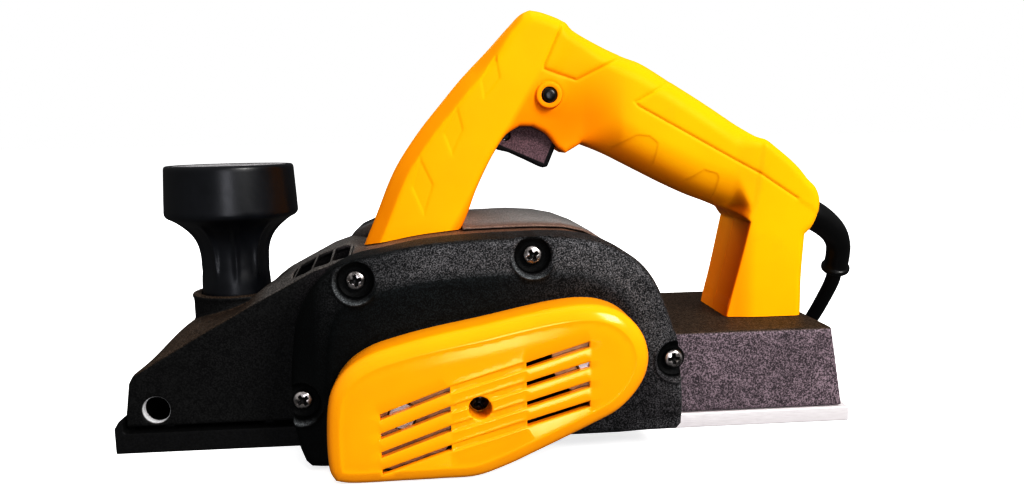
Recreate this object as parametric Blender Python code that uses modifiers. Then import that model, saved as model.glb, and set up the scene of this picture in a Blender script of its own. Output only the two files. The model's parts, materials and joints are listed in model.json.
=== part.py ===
"""Electric hand planer, 82 mm class.

A plain metal-soled hand planer: a casting carries a transverse motor, a belt
drives the cutter drum, the front shoe rises on the depth knob, and a closed
D handle holds the switch. Units below are millimetres, scaled by MM.
+X points to the rear of the tool, +Y to its right side, +Z up.
The origin lies on the sole plane, in the middle of the tool's length.
"""
import math

import bmesh
import bpy
from mathutils import Matrix, Vector

MM = 0.001

# ---------------------------------------------------------------- dimensions
BASE_LEN = 290.0           # length over both shoes
BASE_HALF_W = 42.0         # the shoes are 84 wide
BODY_HALF_W = 41.5         # casting half width
DRUM_X, DRUM_Z = -33.0, 24.0      # cutter drum axis
DRUM_R = 22.3              # drum body
CUT_R = 23.9               # blade tip circle
BAY_R = 27.0               # drum bay in the casting
MOTOR_X, MOTOR_Z = 30.0, 41.0     # motor axis
MOTOR_BAY_R = 31.5
DRUM_PULLEY_R = 18.4
MOTOR_PULLEY_R = 10.6
KNOB_X = -106.7            # depth knob axis
BOSS_Z = 33.0              # underside of the knob boss
SHOE_TRAVEL = 2.0          # front shoe lift
SOLE_T = 6.0               # rear sole thickness
SHOE_T = 7.9               # front shoe thickness
COVER_FACE_Y = -67.0       # side cover outer face
BELT_FACE_Y = -84.0        # belt cover outer face
HANDLE_HALF_W = 19.0
BOX_TOP = 39.1             # top of the rear body
CORD_D = 6.5
GAP = 0.3

# ---------------------------------------------------------------- clean start
for ob in list(bpy.data.objects):
    bpy.data.objects.remove(ob, do_unlink=True)

part_col = bpy.data.collections.new("electric_hand_planer")
bpy.context.scene.collection.children.link(part_col)
cut_col = bpy.data.collections.new("cutters")
bpy.context.scene.collection.children.link(cut_col)


# ---------------------------------------------------------------- materials
def material(name, rgb, rough, metal=0.0):
    m = bpy.data.materials.new(name)
    m.use_nodes = True
    b = m.node_tree.nodes["Principled BSDF"]
    b.inputs["Base Color"].default_value = (*rgb, 1.0)
    b.inputs["Roughness"].default_value = rough
    b.inputs["Metallic"].default_value = metal
    m.diffuse_color = (*rgb, 1.0)
    return m


YELLOW = (0.90, 0.45, 0.02)
BLACK = (0.012, 0.013, 0.014)
BROWN = (0.07, 0.058, 0.052)
CAST = (0.62, 0.62, 0.63)
STEEL = (0.55, 0.55, 0.56)
COPPER = (0.55, 0.22, 0.10)
BRASS = (0.65, 0.48, 0.18)
RUBBER = (0.012, 0.012, 0.013)


# ---------------------------------------------------------------- mesh helpers
def finish(ob, name, rgb, rough=0.5, metal=0.0, smooth=True, angle=35.0):
    """Name the piece, give it its material and put it with the parts."""
    ob.name = name
    ob.data.name = name
    for c in list(ob.users_collection):
        c.objects.unlink(ob)
    part_col.objects.link(ob)
    ob.data.materials.clear()
    ob.data.materials.append(material("mat_" + name, rgb, rough, metal))
    if smooth:
        ob.data.shade_smooth()
        ob.data.set_sharp_from_angle(angle=math.radians(angle))
    return ob


def from_bmesh(bm, name="piece"):
    bmesh.ops.recalc_face_normals(bm, faces=bm.faces)
    me = bpy.data.meshes.new(name)
    bm.to_mesh(me)
    bm.free()
    ob = bpy.data.objects.new(name, me)
    cut_col.objects.link(ob)
    return ob


def curve_to_mesh(cu_ob, merge=0.00002):
    """A curve becomes a welded closed mesh object in the same place."""
    bpy.context.view_layer.update()
    dg = bpy.context.evaluated_depsgraph_get()
    me = bpy.data.meshes.new_from_object(cu_ob.evaluated_get(dg))
    bm = bmesh.new()
    bm.from_mesh(me)
    bmesh.ops.remove_doubles(bm, verts=bm.verts, dist=merge)
    bmesh.ops.recalc_face_normals(bm, faces=bm.faces)
    bm.to_mesh(me)
    bm.free()
    ob = bpy.data.objects.new(cu_ob.name, me)
    cut_col.objects.link(ob)
    ob.matrix_world = cu_ob.matrix_world.copy()
    cu = cu_ob.data
    bpy.data.objects.remove(cu_ob, do_unlink=True)
    bpy.data.curves.remove(cu)
    return ob


def prism(outline, lo, hi, axis="Y", holes=()):
    """Flat outline (a closed loop of pairs in mm) extruded from lo to hi.

    axis Y: pairs are (x, z). axis Z: pairs are (x, y). axis X: pairs are (y, z).
    """
    cu = bpy.data.curves.new("outline", "CURVE")
    cu.dimensions = "2D"
    cu.fill_mode = "BOTH"
    cu.extrude = abs(hi - lo) * MM / 2
    for loop in (outline, *holes):
        sp = cu.splines.new("POLY")
        sp.points.add(len(loop) - 1)
        for p, (a, b) in zip(sp.points, loop):
            p.co = (a * MM, b * MM, 0.0, 1.0)
        sp.use_cyclic_u = True
    ob = bpy.data.objects.new("outline", cu)
    cut_col.objects.link(ob)
    mid = (lo + hi) / 2 * MM
    if axis == "Y":
        ob.matrix_world = Matrix.Translation((0, mid, 0)) @ Matrix.Rotation(math.pi / 2, 4, "X")
    elif axis == "X":
        ob.matrix_world = Matrix.Translation((mid, 0, 0)) @ Matrix(
            ((0, 0, 1, 0), (1, 0, 0, 0), (0, 1, 0, 0), (0, 0, 0, 1)))
    else:
        ob.matrix_world = Matrix.Translation((0, 0, mid))
    m = curve_to_mesh(ob)
    m.data.transform(m.matrix_world)
    m.matrix_world = Matrix.Identity(4)
    bm = bmesh.new()
    bm.from_mesh(m.data)
    bmesh.ops.dissolve_limit(bm, angle_limit=math.radians(0.05), verts=bm.verts, edges=bm.edges)
    bmesh.ops.recalc_face_normals(bm, faces=bm.faces)
    bm.to_mesh(m.data)
    bm.free()
    return m


AXIS_ROT = {
    "Z": Matrix.Identity(4),
    "Y": Matrix.Rotation(-math.pi / 2, 4, "X"),
    "X": Matrix.Rotation(math.pi / 2, 4, "Y"),
}


def cyl(axis, centre, lo, hi, r, seg=32, r2=None):
    """Cylinder or cone along an axis; centre gives the other two coordinates."""
    bm = bmesh.new()
    bmesh.ops.create_cone(bm, cap_ends=True, segments=seg, radius1=r * MM,
                          radius2=(r if r2 is None else r2) * MM, depth=(hi - lo) * MM)
    mid = (lo + hi) / 2
    a, b = centre
    loc = {"Z": (a, b, mid), "Y": (a, mid, b), "X": (mid, a, b)}[axis]
    bmesh.ops.transform(bm, matrix=Matrix.Translation(Vector(loc) * MM) @ AXIS_ROT[axis], verts=bm.verts)
    return from_bmesh(bm, "cyl")


def box(x0, x1, y0, y1, z0, z1):
    bm = bmesh.new()
    bmesh.ops.create_cube(bm, size=1.0)
    bmesh.ops.scale(bm, vec=((x1 - x0) * MM, (y1 - y0) * MM, (z1 - z0) * MM), verts=bm.verts)
    bmesh.ops.translate(bm, vec=((x0 + x1) / 2 * MM, (y0 + y1) / 2 * MM, (z0 + z1) / 2 * MM), verts=bm.verts)
    return from_bmesh(bm, "box")


def turned(profile, axis, centre, seg=28):
    """Profile of (radius, distance along the axis) turned once about the axis.

    A profile whose ends are off the axis is a closed ring.
    """
    me = bpy.data.meshes.new("profile")
    ring = profile[0][0] > 0 or profile[-1][0] > 0
    verts = [(max(r, 0) * MM, 0, h * MM) for r, h in profile]
    edges = [(i, i + 1) for i in range(len(verts) - 1)]
    if ring:
        edges.append((len(verts) - 1, 0))
    me.from_pydata(verts, edges, [])
    ob = bpy.data.objects.new("turned", me)
    cut_col.objects.link(ob)
    sc = ob.modifiers.new("Screw", "SCREW")
    sc.axis = "Z"
    sc.angle = 2 * math.pi
    sc.steps = sc.render_steps = seg
    sc.use_merge_vertices = True
    sc.merge_threshold = 0.00001
    sc.use_normal_calculate = True
    apply_all(ob)
    bm = bmesh.new()
    bm.from_mesh(ob.data)
    bmesh.ops.remove_doubles(bm, verts=bm.verts, dist=0.000002)
    bmesh.ops.recalc_face_normals(bm, faces=bm.faces)
    a, b = centre
    loc = {"Z": (a, b, 0), "Y": (a, 0, b), "X": (0, a, b)}[axis]
    bmesh.ops.transform(bm, matrix=Matrix.Translation(Vector(loc) * MM) @ AXIS_ROT[axis], verts=bm.verts)
    bm.to_mesh(ob.data)
    bm.free()
    return ob


def apply_all(ob):
    """Apply the object's modifiers to its mesh."""
    bpy.context.view_layer.update()
    dg = bpy.context.evaluated_depsgraph_get()
    me = bpy.data.meshes.new_from_object(ob.evaluated_get(dg))
    ob.modifiers.clear()
    old = ob.data
    ob.data = me
    if old.users == 0:
        bpy.data.meshes.remove(old)
    return ob


def volume(mesh):
    """Volume in cubic mm of a closed mesh, or None for one that is open."""
    bm = bmesh.new()
    bm.from_mesh(mesh)
    ok = len(bm.faces) > 3 and all(e.is_manifold for e in bm.edges)
    v = bm.calc_volume(signed=True) / MM ** 3 if ok else None
    bm.free()
    return v


def combine(ob, other, op="DIFFERENCE"):
    """Cut other from ob, or join it to ob, and drop the tool piece.

    The exact solver comes first; the manifold one takes over where it fails.
    """
    start = ob.data.copy()
    v0, vt = volume(start), volume(other.data)
    low, high = (v0 - vt, v0) if op == "DIFFERENCE" else (max(v0, vt), v0 + vt)
    for solver in ("EXACT", "MANIFOLD"):
        md = ob.modifiers.new("Boolean", "BOOLEAN")
        md.operation = op
        md.solver = solver
        md.object = other
        apply_all(ob)
        v = volume(ob.data)
        if v is not None and low - 1.0 < v < high + 1.0:
            break
        ob.data = start.copy()
    bpy.data.meshes.remove(start)
    me = other.data
    bpy.data.objects.remove(other, do_unlink=True)
    if me.users == 0:
        bpy.data.meshes.remove(me)
    return ob


def cut(ob, *tools):
    for t in tools:
        combine(ob, t, "DIFFERENCE")
    return ob


def join(ob, *tools):
    for t in tools:
        combine(ob, t, "UNION")
    return ob


def chamfer(ob, width, segments=1, test=None, angle=30.0):
    """Bevel the sharp edges that pass the test (a function of two points in mm)."""
    bm = bmesh.new()
    bm.from_mesh(ob.data)
    picked = []
    for e in bm.edges:
        if len(e.link_faces) != 2 or e.calc_face_angle(0.0) < math.radians(angle):
            continue
        a, b = (v.co / MM for v in e.verts)
        if test is None or test(a, b):
            picked.append(e)
    bmesh.ops.bevel(bm, geom=picked, offset=width * MM, segments=segments, profile=0.5,
                    affect="EDGES", clamp_overlap=True)
    bmesh.ops.recalc_face_normals(bm, faces=bm.faces)
    bm.to_mesh(ob.data)
    bm.free()
    return ob


def arc(cx, cz, r, a0, a1, n):
    """Points on a circle from angle a0 to a1 in degrees."""
    return [(cx + r * math.cos(math.radians(a0 + (a1 - a0) * i / n)),
             cz + r * math.sin(math.radians(a0 + (a1 - a0) * i / n))) for i in range(n + 1)]


def slot_outline(ax, az, bx, bz, w):
    """Rectangle of width w along the line from a to b."""
    d = Vector((bx - ax, bz - az)).normalized()
    n = Vector((-d.y, d.x)) * (w / 2)
    return [(ax + n.x, az + n.y), (ax - n.x, az - n.y), (bx - n.x, bz - n.y), (bx + n.x, bz + n.y)]


def smooth_route(points, count):
    """A cubic through the route's points, read at equal steps of its parameter."""
    pts = [Vector(p) for p in points]
    ext = [2 * pts[0] - pts[1]] + pts + [2 * pts[-1] - pts[-2]]
    dense = []
    for i in range(len(pts) - 1):
        p0, p1, p2, p3 = ext[i:i + 4]
        for k in range(24):
            t = k / 24
            dense.append(0.5 * ((2 * p1) + (p2 - p0) * t + (2 * p0 - 5 * p1 + 4 * p2 - p3) * t * t
                                + (3 * p1 - p0 - 3 * p2 + p3) * t ** 3))
    dense.append(pts[-1])
    cum = [0.0]
    for a, b in zip(dense, dense[1:]):
        cum.append(cum[-1] + (b - a).length)
    out, j = [], 0
    for k in range(count):
        s = cum[-1] * k / (count - 1)
        while j < len(cum) - 2 and cum[j + 1] < s:
            j += 1
        f = 0 if cum[j + 1] == cum[j] else (s - cum[j]) / (cum[j + 1] - cum[j])
        out.append(dense[j].lerp(dense[j + 1], min(max(f, 0), 1)))
    return out


def tube(points, radii, res=2):
    """A round solid along points in mm, with filled caps."""
    cu = bpy.data.curves.new("tube", "CURVE")
    cu.dimensions = "3D"
    cu.bevel_depth = 1.0 * MM
    cu.bevel_resolution = res
    cu.use_fill_caps = True
    sp = cu.splines.new("POLY")
    sp.points.add(len(points) - 1)
    for p, co, r in zip(sp.points, points, radii):
        p.co = (co[0] * MM, co[1] * MM, co[2] * MM, 1.0)
        p.radius = r
    ob = bpy.data.objects.new("tube", cu)
    cut_col.objects.link(ob)
    return curve_to_mesh(ob)


# ---------------------------------------------------------------- main casting
# Deck line of the hump, front to rear
DECK = [(-53.0, 73.2), (-39.0, 76.3), (-27.7, 78.3), (-9.0, 80.1), (7.0, 80.5), (20.0, 80.6),
        (31.0, 80.0), (39.0, 78.0), (46.5, 74.5), (52.5, 70.0), (57.3, 63.5), (61.0, 56.0),
        (64.5, 47.0)]
FRAME_OUT = [(-140.4, 10.1), (-140.4, 15.0), (-138.6, 27.2), (-136.7, 30.5), (-107.6, 47.3),
             (-92.8, 55.2), (-68.3, 68.0)] + DECK + [
             (67.0, BOX_TOP), (137.0, BOX_TOP), (142.4, SOLE_T + GAP),
             (-10.0, SOLE_T + GAP), (-10.0, 10.1)]
frame = prism(FRAME_OUT, -BODY_HALF_W, BODY_HALF_W)
chamfer(frame, 1.6, 1, test=lambda a, b: abs(abs(a.y) - BODY_HALF_W) < 0.1 and abs(abs(b.y) - BODY_HALF_W) < 0.1
        and abs(a.y - b.y) < 0.1 and min(a.z, b.z) > 14)
# nose cavity, open downwards
cut(frame, prism([(-135.5, 5), (-135.5, 23), (-107, 39.5), (-92, 46), (-64, 60), (-62, 60), (-62, 5)], -37.5, 37.5))
# knob boss with its bore
join(frame, cyl("Z", (KNOB_X, 0), BOSS_Z, 55.0, 17.6, 32))
cut(frame, cyl("Z", (KNOB_X, 0), 49.0, 75.0, 14.4, 28), cyl("Z", (KNOB_X, 0), 20.0, 52.0, 9.95, 20),
    cyl("Z", (KNOB_X, 0), 4.0, BOSS_Z, 15.4, 20))
# drum bay, chip channel, motor bay
cut(frame, cyl("Y", (DRUM_X, DRUM_Z), -50, 50, BAY_R, 36),
    prism([(-55, 30), (-58, 50), (-46, 64), (-24, 66), (-14, 56), (-12, 38), (-33, 24)], -36.5, 50),
    cyl("Y", (MOTOR_X, MOTOR_Z), -36.5, 50, MOTOR_BAY_R, 40),
    cyl("Y", (MOTOR_X, MOTOR_Z), -50, -30, 11.35, 24))
# rear cavity, open downwards
cut(frame, prism([(78, 3), (78, 35), (133.5, 35), (138.2, 3)], -37.5, 37.5))
# shallow seat for the side cover
COVER_SEAT = [(-75.0, 0.0), (-75.0, 52.0), (-73.0, 60.0), (-68.5, 67.0), (-60.0, 76.0), (-60.0, 95.0), (72.0, 95.0), (72.0, 0.0)]
cut(frame, prism(COVER_SEAT, -45.0, -BODY_HALF_W + GAP))
# fence bolt hole through both nose walls
GUIDE = (-128.9, 16.6)
cut(frame, cyl("Y", GUIDE, -50, 50, 5.0, 20))
# side cover screw holes
SCREWS = [(-48.9, 68.0), (14.2, 75.2), (-69.4, 25.1), (66.0, 35.0)]
for sx, sz in SCREWS:
    cut(frame, cyl("Y", (sx, sz), -50, -30.5, 2.35, 8))
# air inlets on the slope of the nose
for k in range(3):
    vx = -71.5 + 6.4 * k
    cut(frame, prism([(vx - 2.1, 54), (vx + 1.9, 54), (vx + 4.1, 80), (vx + 0.1, 80)], -35.5, -23.5))
finish(frame, "main_frame", BROWN, 0.6)

# ---------------------------------------------------------------- rear sole
x_end = BASE_LEN / 2
rear_sole = prism([(-20.5, 0), (-14.5, SOLE_T), (x_end, SOLE_T), (x_end, 0)], -BASE_HALF_W, BASE_HALF_W)
chamfer(rear_sole, 0.6, 1, test=lambda a, b: a.x > x_end - 0.5 and b.x > x_end - 0.5)
finish(rear_sole, "rear_sole", CAST, 0.35, 0.9)

# ---------------------------------------------------------------- front shoe, rises by SHOE_TRAVEL
shoe = prism([(-x_end, 0), (-x_end, 9.6), (-143.2, 12.6), (-141.3, 14.0), (-141.3, SHOE_T),
              (-54.9, SHOE_T), (-45.5, 0)], -BASE_HALF_W, BASE_HALF_W)
join(shoe, cyl("Z", (KNOB_X, 0), 5, 20, 9.0, 28))
for rx in (-88.0, -126.0):
    join(shoe, box(rx - 2, rx + 2, -36.8, 36.8, 5, 17.5 if rx < -100 else 22))
cut(shoe, cyl("Z", (KNOB_X, 0), 9.9, 30, 5.3, 20))
cut(shoe, cyl("Y", GUIDE, -39, 39, 6.0, 20))
finish(shoe, "front_shoe", BLACK, 0.5)

stud = cyl("Z", (KNOB_X, 0), 10.3, 50.0, 5.0, 20)
chamfer(stud, 0.8, 1)
finish(stud, "depth_stud", STEEL, 0.3, 1.0)

# ---------------------------------------------------------------- depth knob
knob_profile = [(5.35, 28.5), (9.5, 28.5), (9.5, 49.4), (13.9, 49.4), (13.9, 66.0), (14.1, 72.0),
                (15.2, 76.5), (17.4, 80.2), (20.6, 83.4), (25.2, 86.3), (26.9, 88.3),
                (25.9, 107.6), (25.2, 108.2), (23.9, 108.2), (23.9, 106.6), (5.35, 106.6)]
knob = turned([(5.35, 62.0)] + knob_profile[:-1] + [(0.0, 106.6), (0.0, 62.0)], "Z", (KNOB_X, 0), 28)
finish(knob, "depth_knob", BLACK, 0.35)
cap = turned([(0, 108.0), (23.1, 108.0), (23.5, 107.6), (23.5, 106.9), (0, 106.9)], "Z", (KNOB_X, 0), 32)
finish(cap, "knob_cap", (0.55, 0.56, 0.57), 0.35)
retainer = turned([(9.8, 32.4), (12.4, 32.4), (12.4, 30.8), (9.8, 30.8)], "Z", (KNOB_X, 0), 20)
finish(retainer, "knob_retainer", STEEL, 0.35, 1.0)
# compression spring between the shoe and the boss
SP_R, SP_W, SP_TURNS = 13.8, 0.8, 4
sp_z0, sp_z1 = SHOE_T + GAP + SP_W, BOSS_Z - GAP - SP_W
n = SP_TURNS * 10
pts = []
for i in range(n + 1):
    a = 2 * math.pi * SP_TURNS * i / n
    t = min(max((i / n - 0.12) / 0.76, 0.0), 1.0)
    flat0 = min(i / n, 0.12) / 0.12 * 1.8
    flat1 = max(i / n - 0.88, 0.0) / 0.12 * 1.8
    pts.append((KNOB_X + SP_R * math.cos(a), SP_R * math.sin(a), sp_z0 + flat0 + flat1 + t * (sp_z1 - sp_z0 - 3.6)))
spring = tube(pts, [SP_W] * len(pts), 1)
finish(spring, "knob_spring", STEEL, 0.3, 1.0)

# ---------------------------------------------------------------- side cover
COVER = [(-69.0, 3.2), (-71.1, 9.3), (-72.6, 17), (-73.3, 26), (-73.2, 35), (-72.5, 43), (-70.9, 53),
         (-67.6, 61.5), (-62.3, 68.4), (-56.6, 72.6), (-50.3, 75.2), (-39, 77.4), (-27.5, 79.6), (-9, 81.2),
         (7, 81.7), (19.5, 81.9), (29, 81.4), (38.6, 79.6), (47.6, 75.6), (53.5, 71.4), (58.4, 65.6),
         (62.4, 57.7), (66.4, 46.7), (68.2, 39.5), (68.9, 24), (68.7, 10.8), (66.8, 8.6), (33, 8.4), (15, 8.4),
         (6, 4.4), (-2, 1.2), (-10, 0.8), (-62, 0.8), (-67, 1.2)]


def inset(loop, d):
    """Offset a clockwise loop inwards by d at every corner."""
    out, m = [], len(loop)
    for i in range(m):
        p0, p1, p2 = Vector(loop[i - 1]), Vector(loop[i]), Vector(loop[(i + 1) % m])
        e1, e2 = (p1 - p0).normalized(), (p2 - p1).normalized()
        n1, n2 = Vector((e1.y, -e1.x)), Vector((e2.y, -e2.x))
        b = (n1 + n2)
        b = b / max(b.dot(n1), 0.5)
        out.append((p1.x + b.x * d, p1.y + b.y * d))
    return out


cover = prism(COVER, COVER_FACE_Y, -BASE_HALF_W - GAP)
chamfer(cover, 2.2, 1, test=lambda a, b: a.y < COVER_FACE_Y + 0.1 and b.y < COVER_FACE_Y + 0.1)
cut(cover, prism(inset(COVER, 2.6), COVER_FACE_Y + 2.6, -30))
for sx, sz in SCREWS:
    col = cyl("Y", (sx, sz), COVER_FACE_Y + 1.0, -42.6, 4.4 if sx > 60 or sx < -60 else 5.2, 24)
    if sx > 60:
        col = box(sx - 5, 68.4, COVER_FACE_Y + 1.0, -42.6, sz - 5.5, sz + 5.5)
    if sx < -60:
        col = box(-72.4, sx + 5, COVER_FACE_Y + 1.0, -42.6, sz - 5.5, sz + 5.5)
    if 0 < sx < 60:
        col = box(sx - 5.5, sx + 5.5, COVER_FACE_Y + 1.0, -42.6, sz - 5, 80.9)
    join(cover, col)
for sx, sz in SCREWS:
    cut(cover, cyl("Y", (sx, sz), COVER_FACE_Y - 2, -61.5, 6.4, 18, r2=6.0), cyl("Y", (sx, sz), -66, -35, 2.35, 8))
BC_SCREW = (-6.5, 26.2)
join(cover, cyl("Y", BC_SCREW, COVER_FACE_Y + 1.0, -56, 4.6, 12))
cut(cover, cyl("Y", (DRUM_X, DRUM_Z), -75, -60, 12.0, 24), cyl("Y", (MOTOR_X, MOTOR_Z), -75, -60, 8.0, 20),
    cyl("Y", BC_SCREW, -75, -50, 1.85, 8))
finish(cover, "side_cover", BLACK, 0.55)


def pan_screw(name, x, z, y_head, shank_r, head_r, length, head_h=2.3):
    """Cross-recess pan screw whose head faces -Y; y_head is the seat of the head."""
    s = turned([(0, y_head - head_h), (head_r * 0.62, y_head - head_h), (head_r, y_head - head_h * 0.45),
                (head_r, y_head), (shank_r, y_head), (shank_r, y_head + length - 1.2),
                (shank_r * 0.4, y_head + length), (0, y_head + length)], "Y", (x, z), 12)
    w = head_r * 0.19
    for k in range(2):
        a, b = (head_r * 0.52, w) if k == 0 else (w, head_r * 0.52)
        cut(s, box(x - a, x + a, y_head - head_h - 1, y_head - head_h + 1.3, z - b, z + b))
    return finish(s, name, STEEL, 0.25, 1.0)


for k, (sx, sz) in enumerate(SCREWS):
    pan_screw("side_cover_screw_%d" % (k + 1), sx, sz, -61.5 - GAP, 2.0, 3.6, 28.0)

# ---------------------------------------------------------------- belt cover
BELT_OUT = [(-56.5, 1.4), (-58.4, 5.0), (-58.3, 27), (-56.2, 34.5), (-51.6, 40.6), (-44.3, 45.3), (-34, 48.6),
            (-22, 51.4), (-5, 54.6), (10, 57.7), (20, 59.5), (29, 60.3), (36, 59.7), (42.5, 57.3), (47.5, 53.2),
            (51, 47.8), (52.5, 41), (51.2, 34.3), (47.4, 28), (41.5, 22.3), (32, 17.4), (22, 12.8), (12, 8.3),
            (2.5, 4.2), (-8, 0.9), (-20, 0.5), (-33, 0.4), (-52, 0.5)]
belt_cover = prism(BELT_OUT, BELT_FACE_Y, COVER_FACE_Y - GAP)
chamfer(belt_cover, 2.6, 1, test=lambda a, b: a.y < BELT_FACE_Y + 0.1 and b.y < BELT_FACE_Y + 0.1)
cut(belt_cover, prism(inset(BELT_OUT, 2.2), BELT_FACE_Y + 2.2, -60))
join(belt_cover, cyl("Y", BC_SCREW, BELT_FACE_Y + 1.0, COVER_FACE_Y - GAP, 5.2, 16))
cut(belt_cover, cyl("Y", BC_SCREW, -90, -74.3, 3.9, 20), cyl("Y", BC_SCREW, -80, -60, 2.35, 8))
SLOT_L = [(28.9, 0.36), (22.2, 0.36), (15.5, 0.35), (8.9, 0.33)]
SLOT_R = [(43.8, 0.30), (36.9, 0.29), (30.0, 0.29), (23.2, 0.28)]
for zc, sl in SLOT_L:
    cut(belt_cover, prism(slot_outline(-40.3, zc - 11.9 * sl, -16.5, zc + 11.9 * sl, 1.9), -90, -80.5))
for zc, sl in SLOT_R:
    cut(belt_cover, prism(slot_outline(9.5, zc - 10.8 * sl, 31.1, zc + 10.8 * sl, 1.9), -90, -80.5))
finish(belt_cover, "belt_cover", YELLOW, 0.3)
pan_screw("belt_cover_screw", BC_SCREW[0], BC_SCREW[1], -74.3 - GAP, 2.0 - 0.5, 3.4, 17.5)

# ---------------------------------------------------------------- belt drive
belt_y0, belt_y1 = -79.6, -71.2


def belt_loop(extra, n_arc=20):
    """Outline around both pulleys, extra outside their rims."""
    d = Vector((MOTOR_X - DRUM_X, MOTOR_Z - DRUM_Z))
    a = math.atan2(d.y, d.x)
    r1, r2 = DRUM_PULLEY_R + extra, MOTOR_PULLEY_R + extra
    b = math.acos((r1 - r2) / d.length)
    deg = math.degrees
    return (arc(DRUM_X, DRUM_Z, r1, deg(a + b), deg(a + 2 * math.pi - b), n_arc + 6)
            + arc(MOTOR_X, MOTOR_Z, r2, deg(a - b), deg(a + b), n_arc - 4))


belt = prism(belt_loop(0.35 + 1.8), belt_y0, belt_y1, holes=[belt_loop(0.35)])
finish(belt, "drive_belt", RUBBER, 0.6)


def pulley(name, x, z, r, bore):
    prof = [(bore, -80.6), (r + 1.0, -80.6), (r + 1.0, -80.0), (r, -79.8), (r, -71.0), (r - 1.0, -70.4), (bore, -70.4)]
    return finish(turned(prof, "Y", (x, z), 24), name, STEEL, 0.35, 1.0)


pulley("drum_pulley", DRUM_X, DRUM_Z, DRUM_PULLEY_R, 5.05)
pulley("motor_pulley", MOTOR_X, MOTOR_Z, MOTOR_PULLEY_R, 4.05)

# ---------------------------------------------------------------- cutter drum
drum = turned([(0, -81.4), (4.4, -81.4), (4.75, -80.8), (4.75, -69.9), (6.0, -69.9), (6.0, -41.6), (8.0, -41.4),
               (8.0, -40.2), (DRUM_R, -40.2), (DRUM_R, 40.2), (8.0, 40.2), (8.0, 41.4), (6.0, 41.6),
               (6.0, 49.6), (0, 49.6)], "Y", (DRUM_X, DRUM_Z), 32)
TILT = math.radians(28)      # the blades' angle at rest


def drum_frame(points, flip):
    """Blade section coordinates (u along the flat, d out from the axis) to x and z."""
    s = -1 if flip else 1
    out = []
    for u, d in points:
        x, z = s * u, s * d
        out.append((DRUM_X + x * math.cos(TILT) - z * math.sin(TILT), DRUM_Z + x * math.sin(TILT) + z * math.cos(TILT)))
    return out


for flip in (False, True):
    cut(drum, prism(drum_frame([(-24, 15.0), (-24, 26), (24, 26), (24, 15.0)], flip), -45.0, 45.0))
finish(drum, "cutter_drum", STEEL, 0.35, 1.0)
seg_pts = [(-12.0, 18.7)] + [(22.1 * math.sin(t), 22.1 * math.cos(t)) for t in
                             [math.radians(-32 + 64 * i / 8) for i in range(9)]] + [(12.0, 18.7)]
for k, flip in enumerate((False, True)):
    b = prism(drum_frame([(-10.6, 15.3), (-10.6, 18.4), (14.4, 18.4), (18.2, 15.3)], flip), -41.0, 41.0)

    finish(b, "blade_%d" % (k + 1), STEEL, 0.25, 1.0)
    c = prism(drum_frame(seg_pts, flip), -39.6, 39.6)
    finish(c, "blade_clamp_%d" % (k + 1), STEEL, 0.4, 1.0)


def ball_bearing(name, x, z, y0, y1, r_in, r_out):
    """Sealed ball bearing as one closed ring."""
    prof = [(r_in, y0), (r_out - 0.4, y0), (r_out, y0 + 0.4), (r_out, y1 - 0.4), (r_out - 0.4, y1), (r_in, y1)]
    return finish(turned(prof, "Y", (x, z), 20), name, STEEL, 0.3, 1.0)


ball_bearing("drum_bearing_left", DRUM_X, DRUM_Z, -50.0, -42.2, 6.3, 13.9)
ball_bearing("drum_bearing_right", DRUM_X, DRUM_Z, 42.2, 49.8, 6.3, 13.9)
FLAT_Z = 3.9


def plate_loop(r):
    a = math.degrees(math.asin((DRUM_Z - FLAT_Z) / r))
    return arc(DRUM_X, DRUM_Z, r, -a, 180 + a, 40)


left_plate = prism(plate_loop(29.3), -49.9, -BASE_HALF_W - GAP)
cut(left_plate, cyl("Y", (DRUM_X, DRUM_Z), -60, -30, 14.25, 32))
finish(left_plate, "drum_plate_left", CAST, 0.5, 0.8)
right_plate = prism(plate_loop(28.4), BASE_HALF_W + GAP, 52.4)
chamfer(right_plate, 1.5, 1, test=lambda a, b: a.y > 52.3 and b.y > 52.3)
cut(right_plate, cyl("Y", (DRUM_X, DRUM_Z), 30, 50.4, 14.25, 32))
finish(right_plate, "drum_plate_right", CAST, 0.5, 0.8)

# ---------------------------------------------------------------- motor
shaft = turned([(0, -81.5), (3.3, -81.5), (3.7, -81.0), (3.7, 65.5), (3.3, 66.0), (0, 66.0)], "Y",
               (MOTOR_X, MOTOR_Z), 16)
finish(shaft, "motor_shaft", STEEL, 0.25, 1.0)
armature = turned([(4.0, -27.5), (10.0, -27.5), (14.2, -25.5), (14.2, -21.5), (17.6, -21.5), (17.6, 18.5), (14.2, 18.5),
                   (14.2, 23.0), (10.0, 25.5), (4.0, 25.5)], "Y", (MOTOR_X, MOTOR_Z), 24)
finish(armature, "armature", COPPER, 0.45, 0.6)
commutator = turned([(4.0, 26.0), (11.6, 26.0), (11.6, 41.5), (4.0, 41.5)], "Y", (MOTOR_X, MOTOR_Z), 24)
finish(commutator, "commutator", COPPER, 0.3, 1.0)
stator = turned([(18.4, -21.5), (31.1, -21.5), (31.1, 18.5), (18.4, 18.5)], "Y", (MOTOR_X, MOTOR_Z), 32)
finish(stator, "stator", STEEL, 0.5, 0.8)
fan = turned([(4.0, -35.6), (10.5, -35.6), (10.5, -34.2), (29.0, -34.2), (29.0, -33.0), (4.0, -33.0)], "Y",
             (MOTOR_X, MOTOR_Z), 24)
blades = 8
loop = []
for k in range(blades):
    a0 = 360 * k / blades
    loop += [(MOTOR_X + r * math.cos(math.radians(a)), MOTOR_Z + r * math.sin(math.radians(a)))
             for r, a in ((9.0, a0 - 9), (28.6, a0 + 8), (28.6, a0 + 11.5), (9.0, a0 + 8))]
join(fan, prism(loop, -33.6, -28.4))
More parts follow.
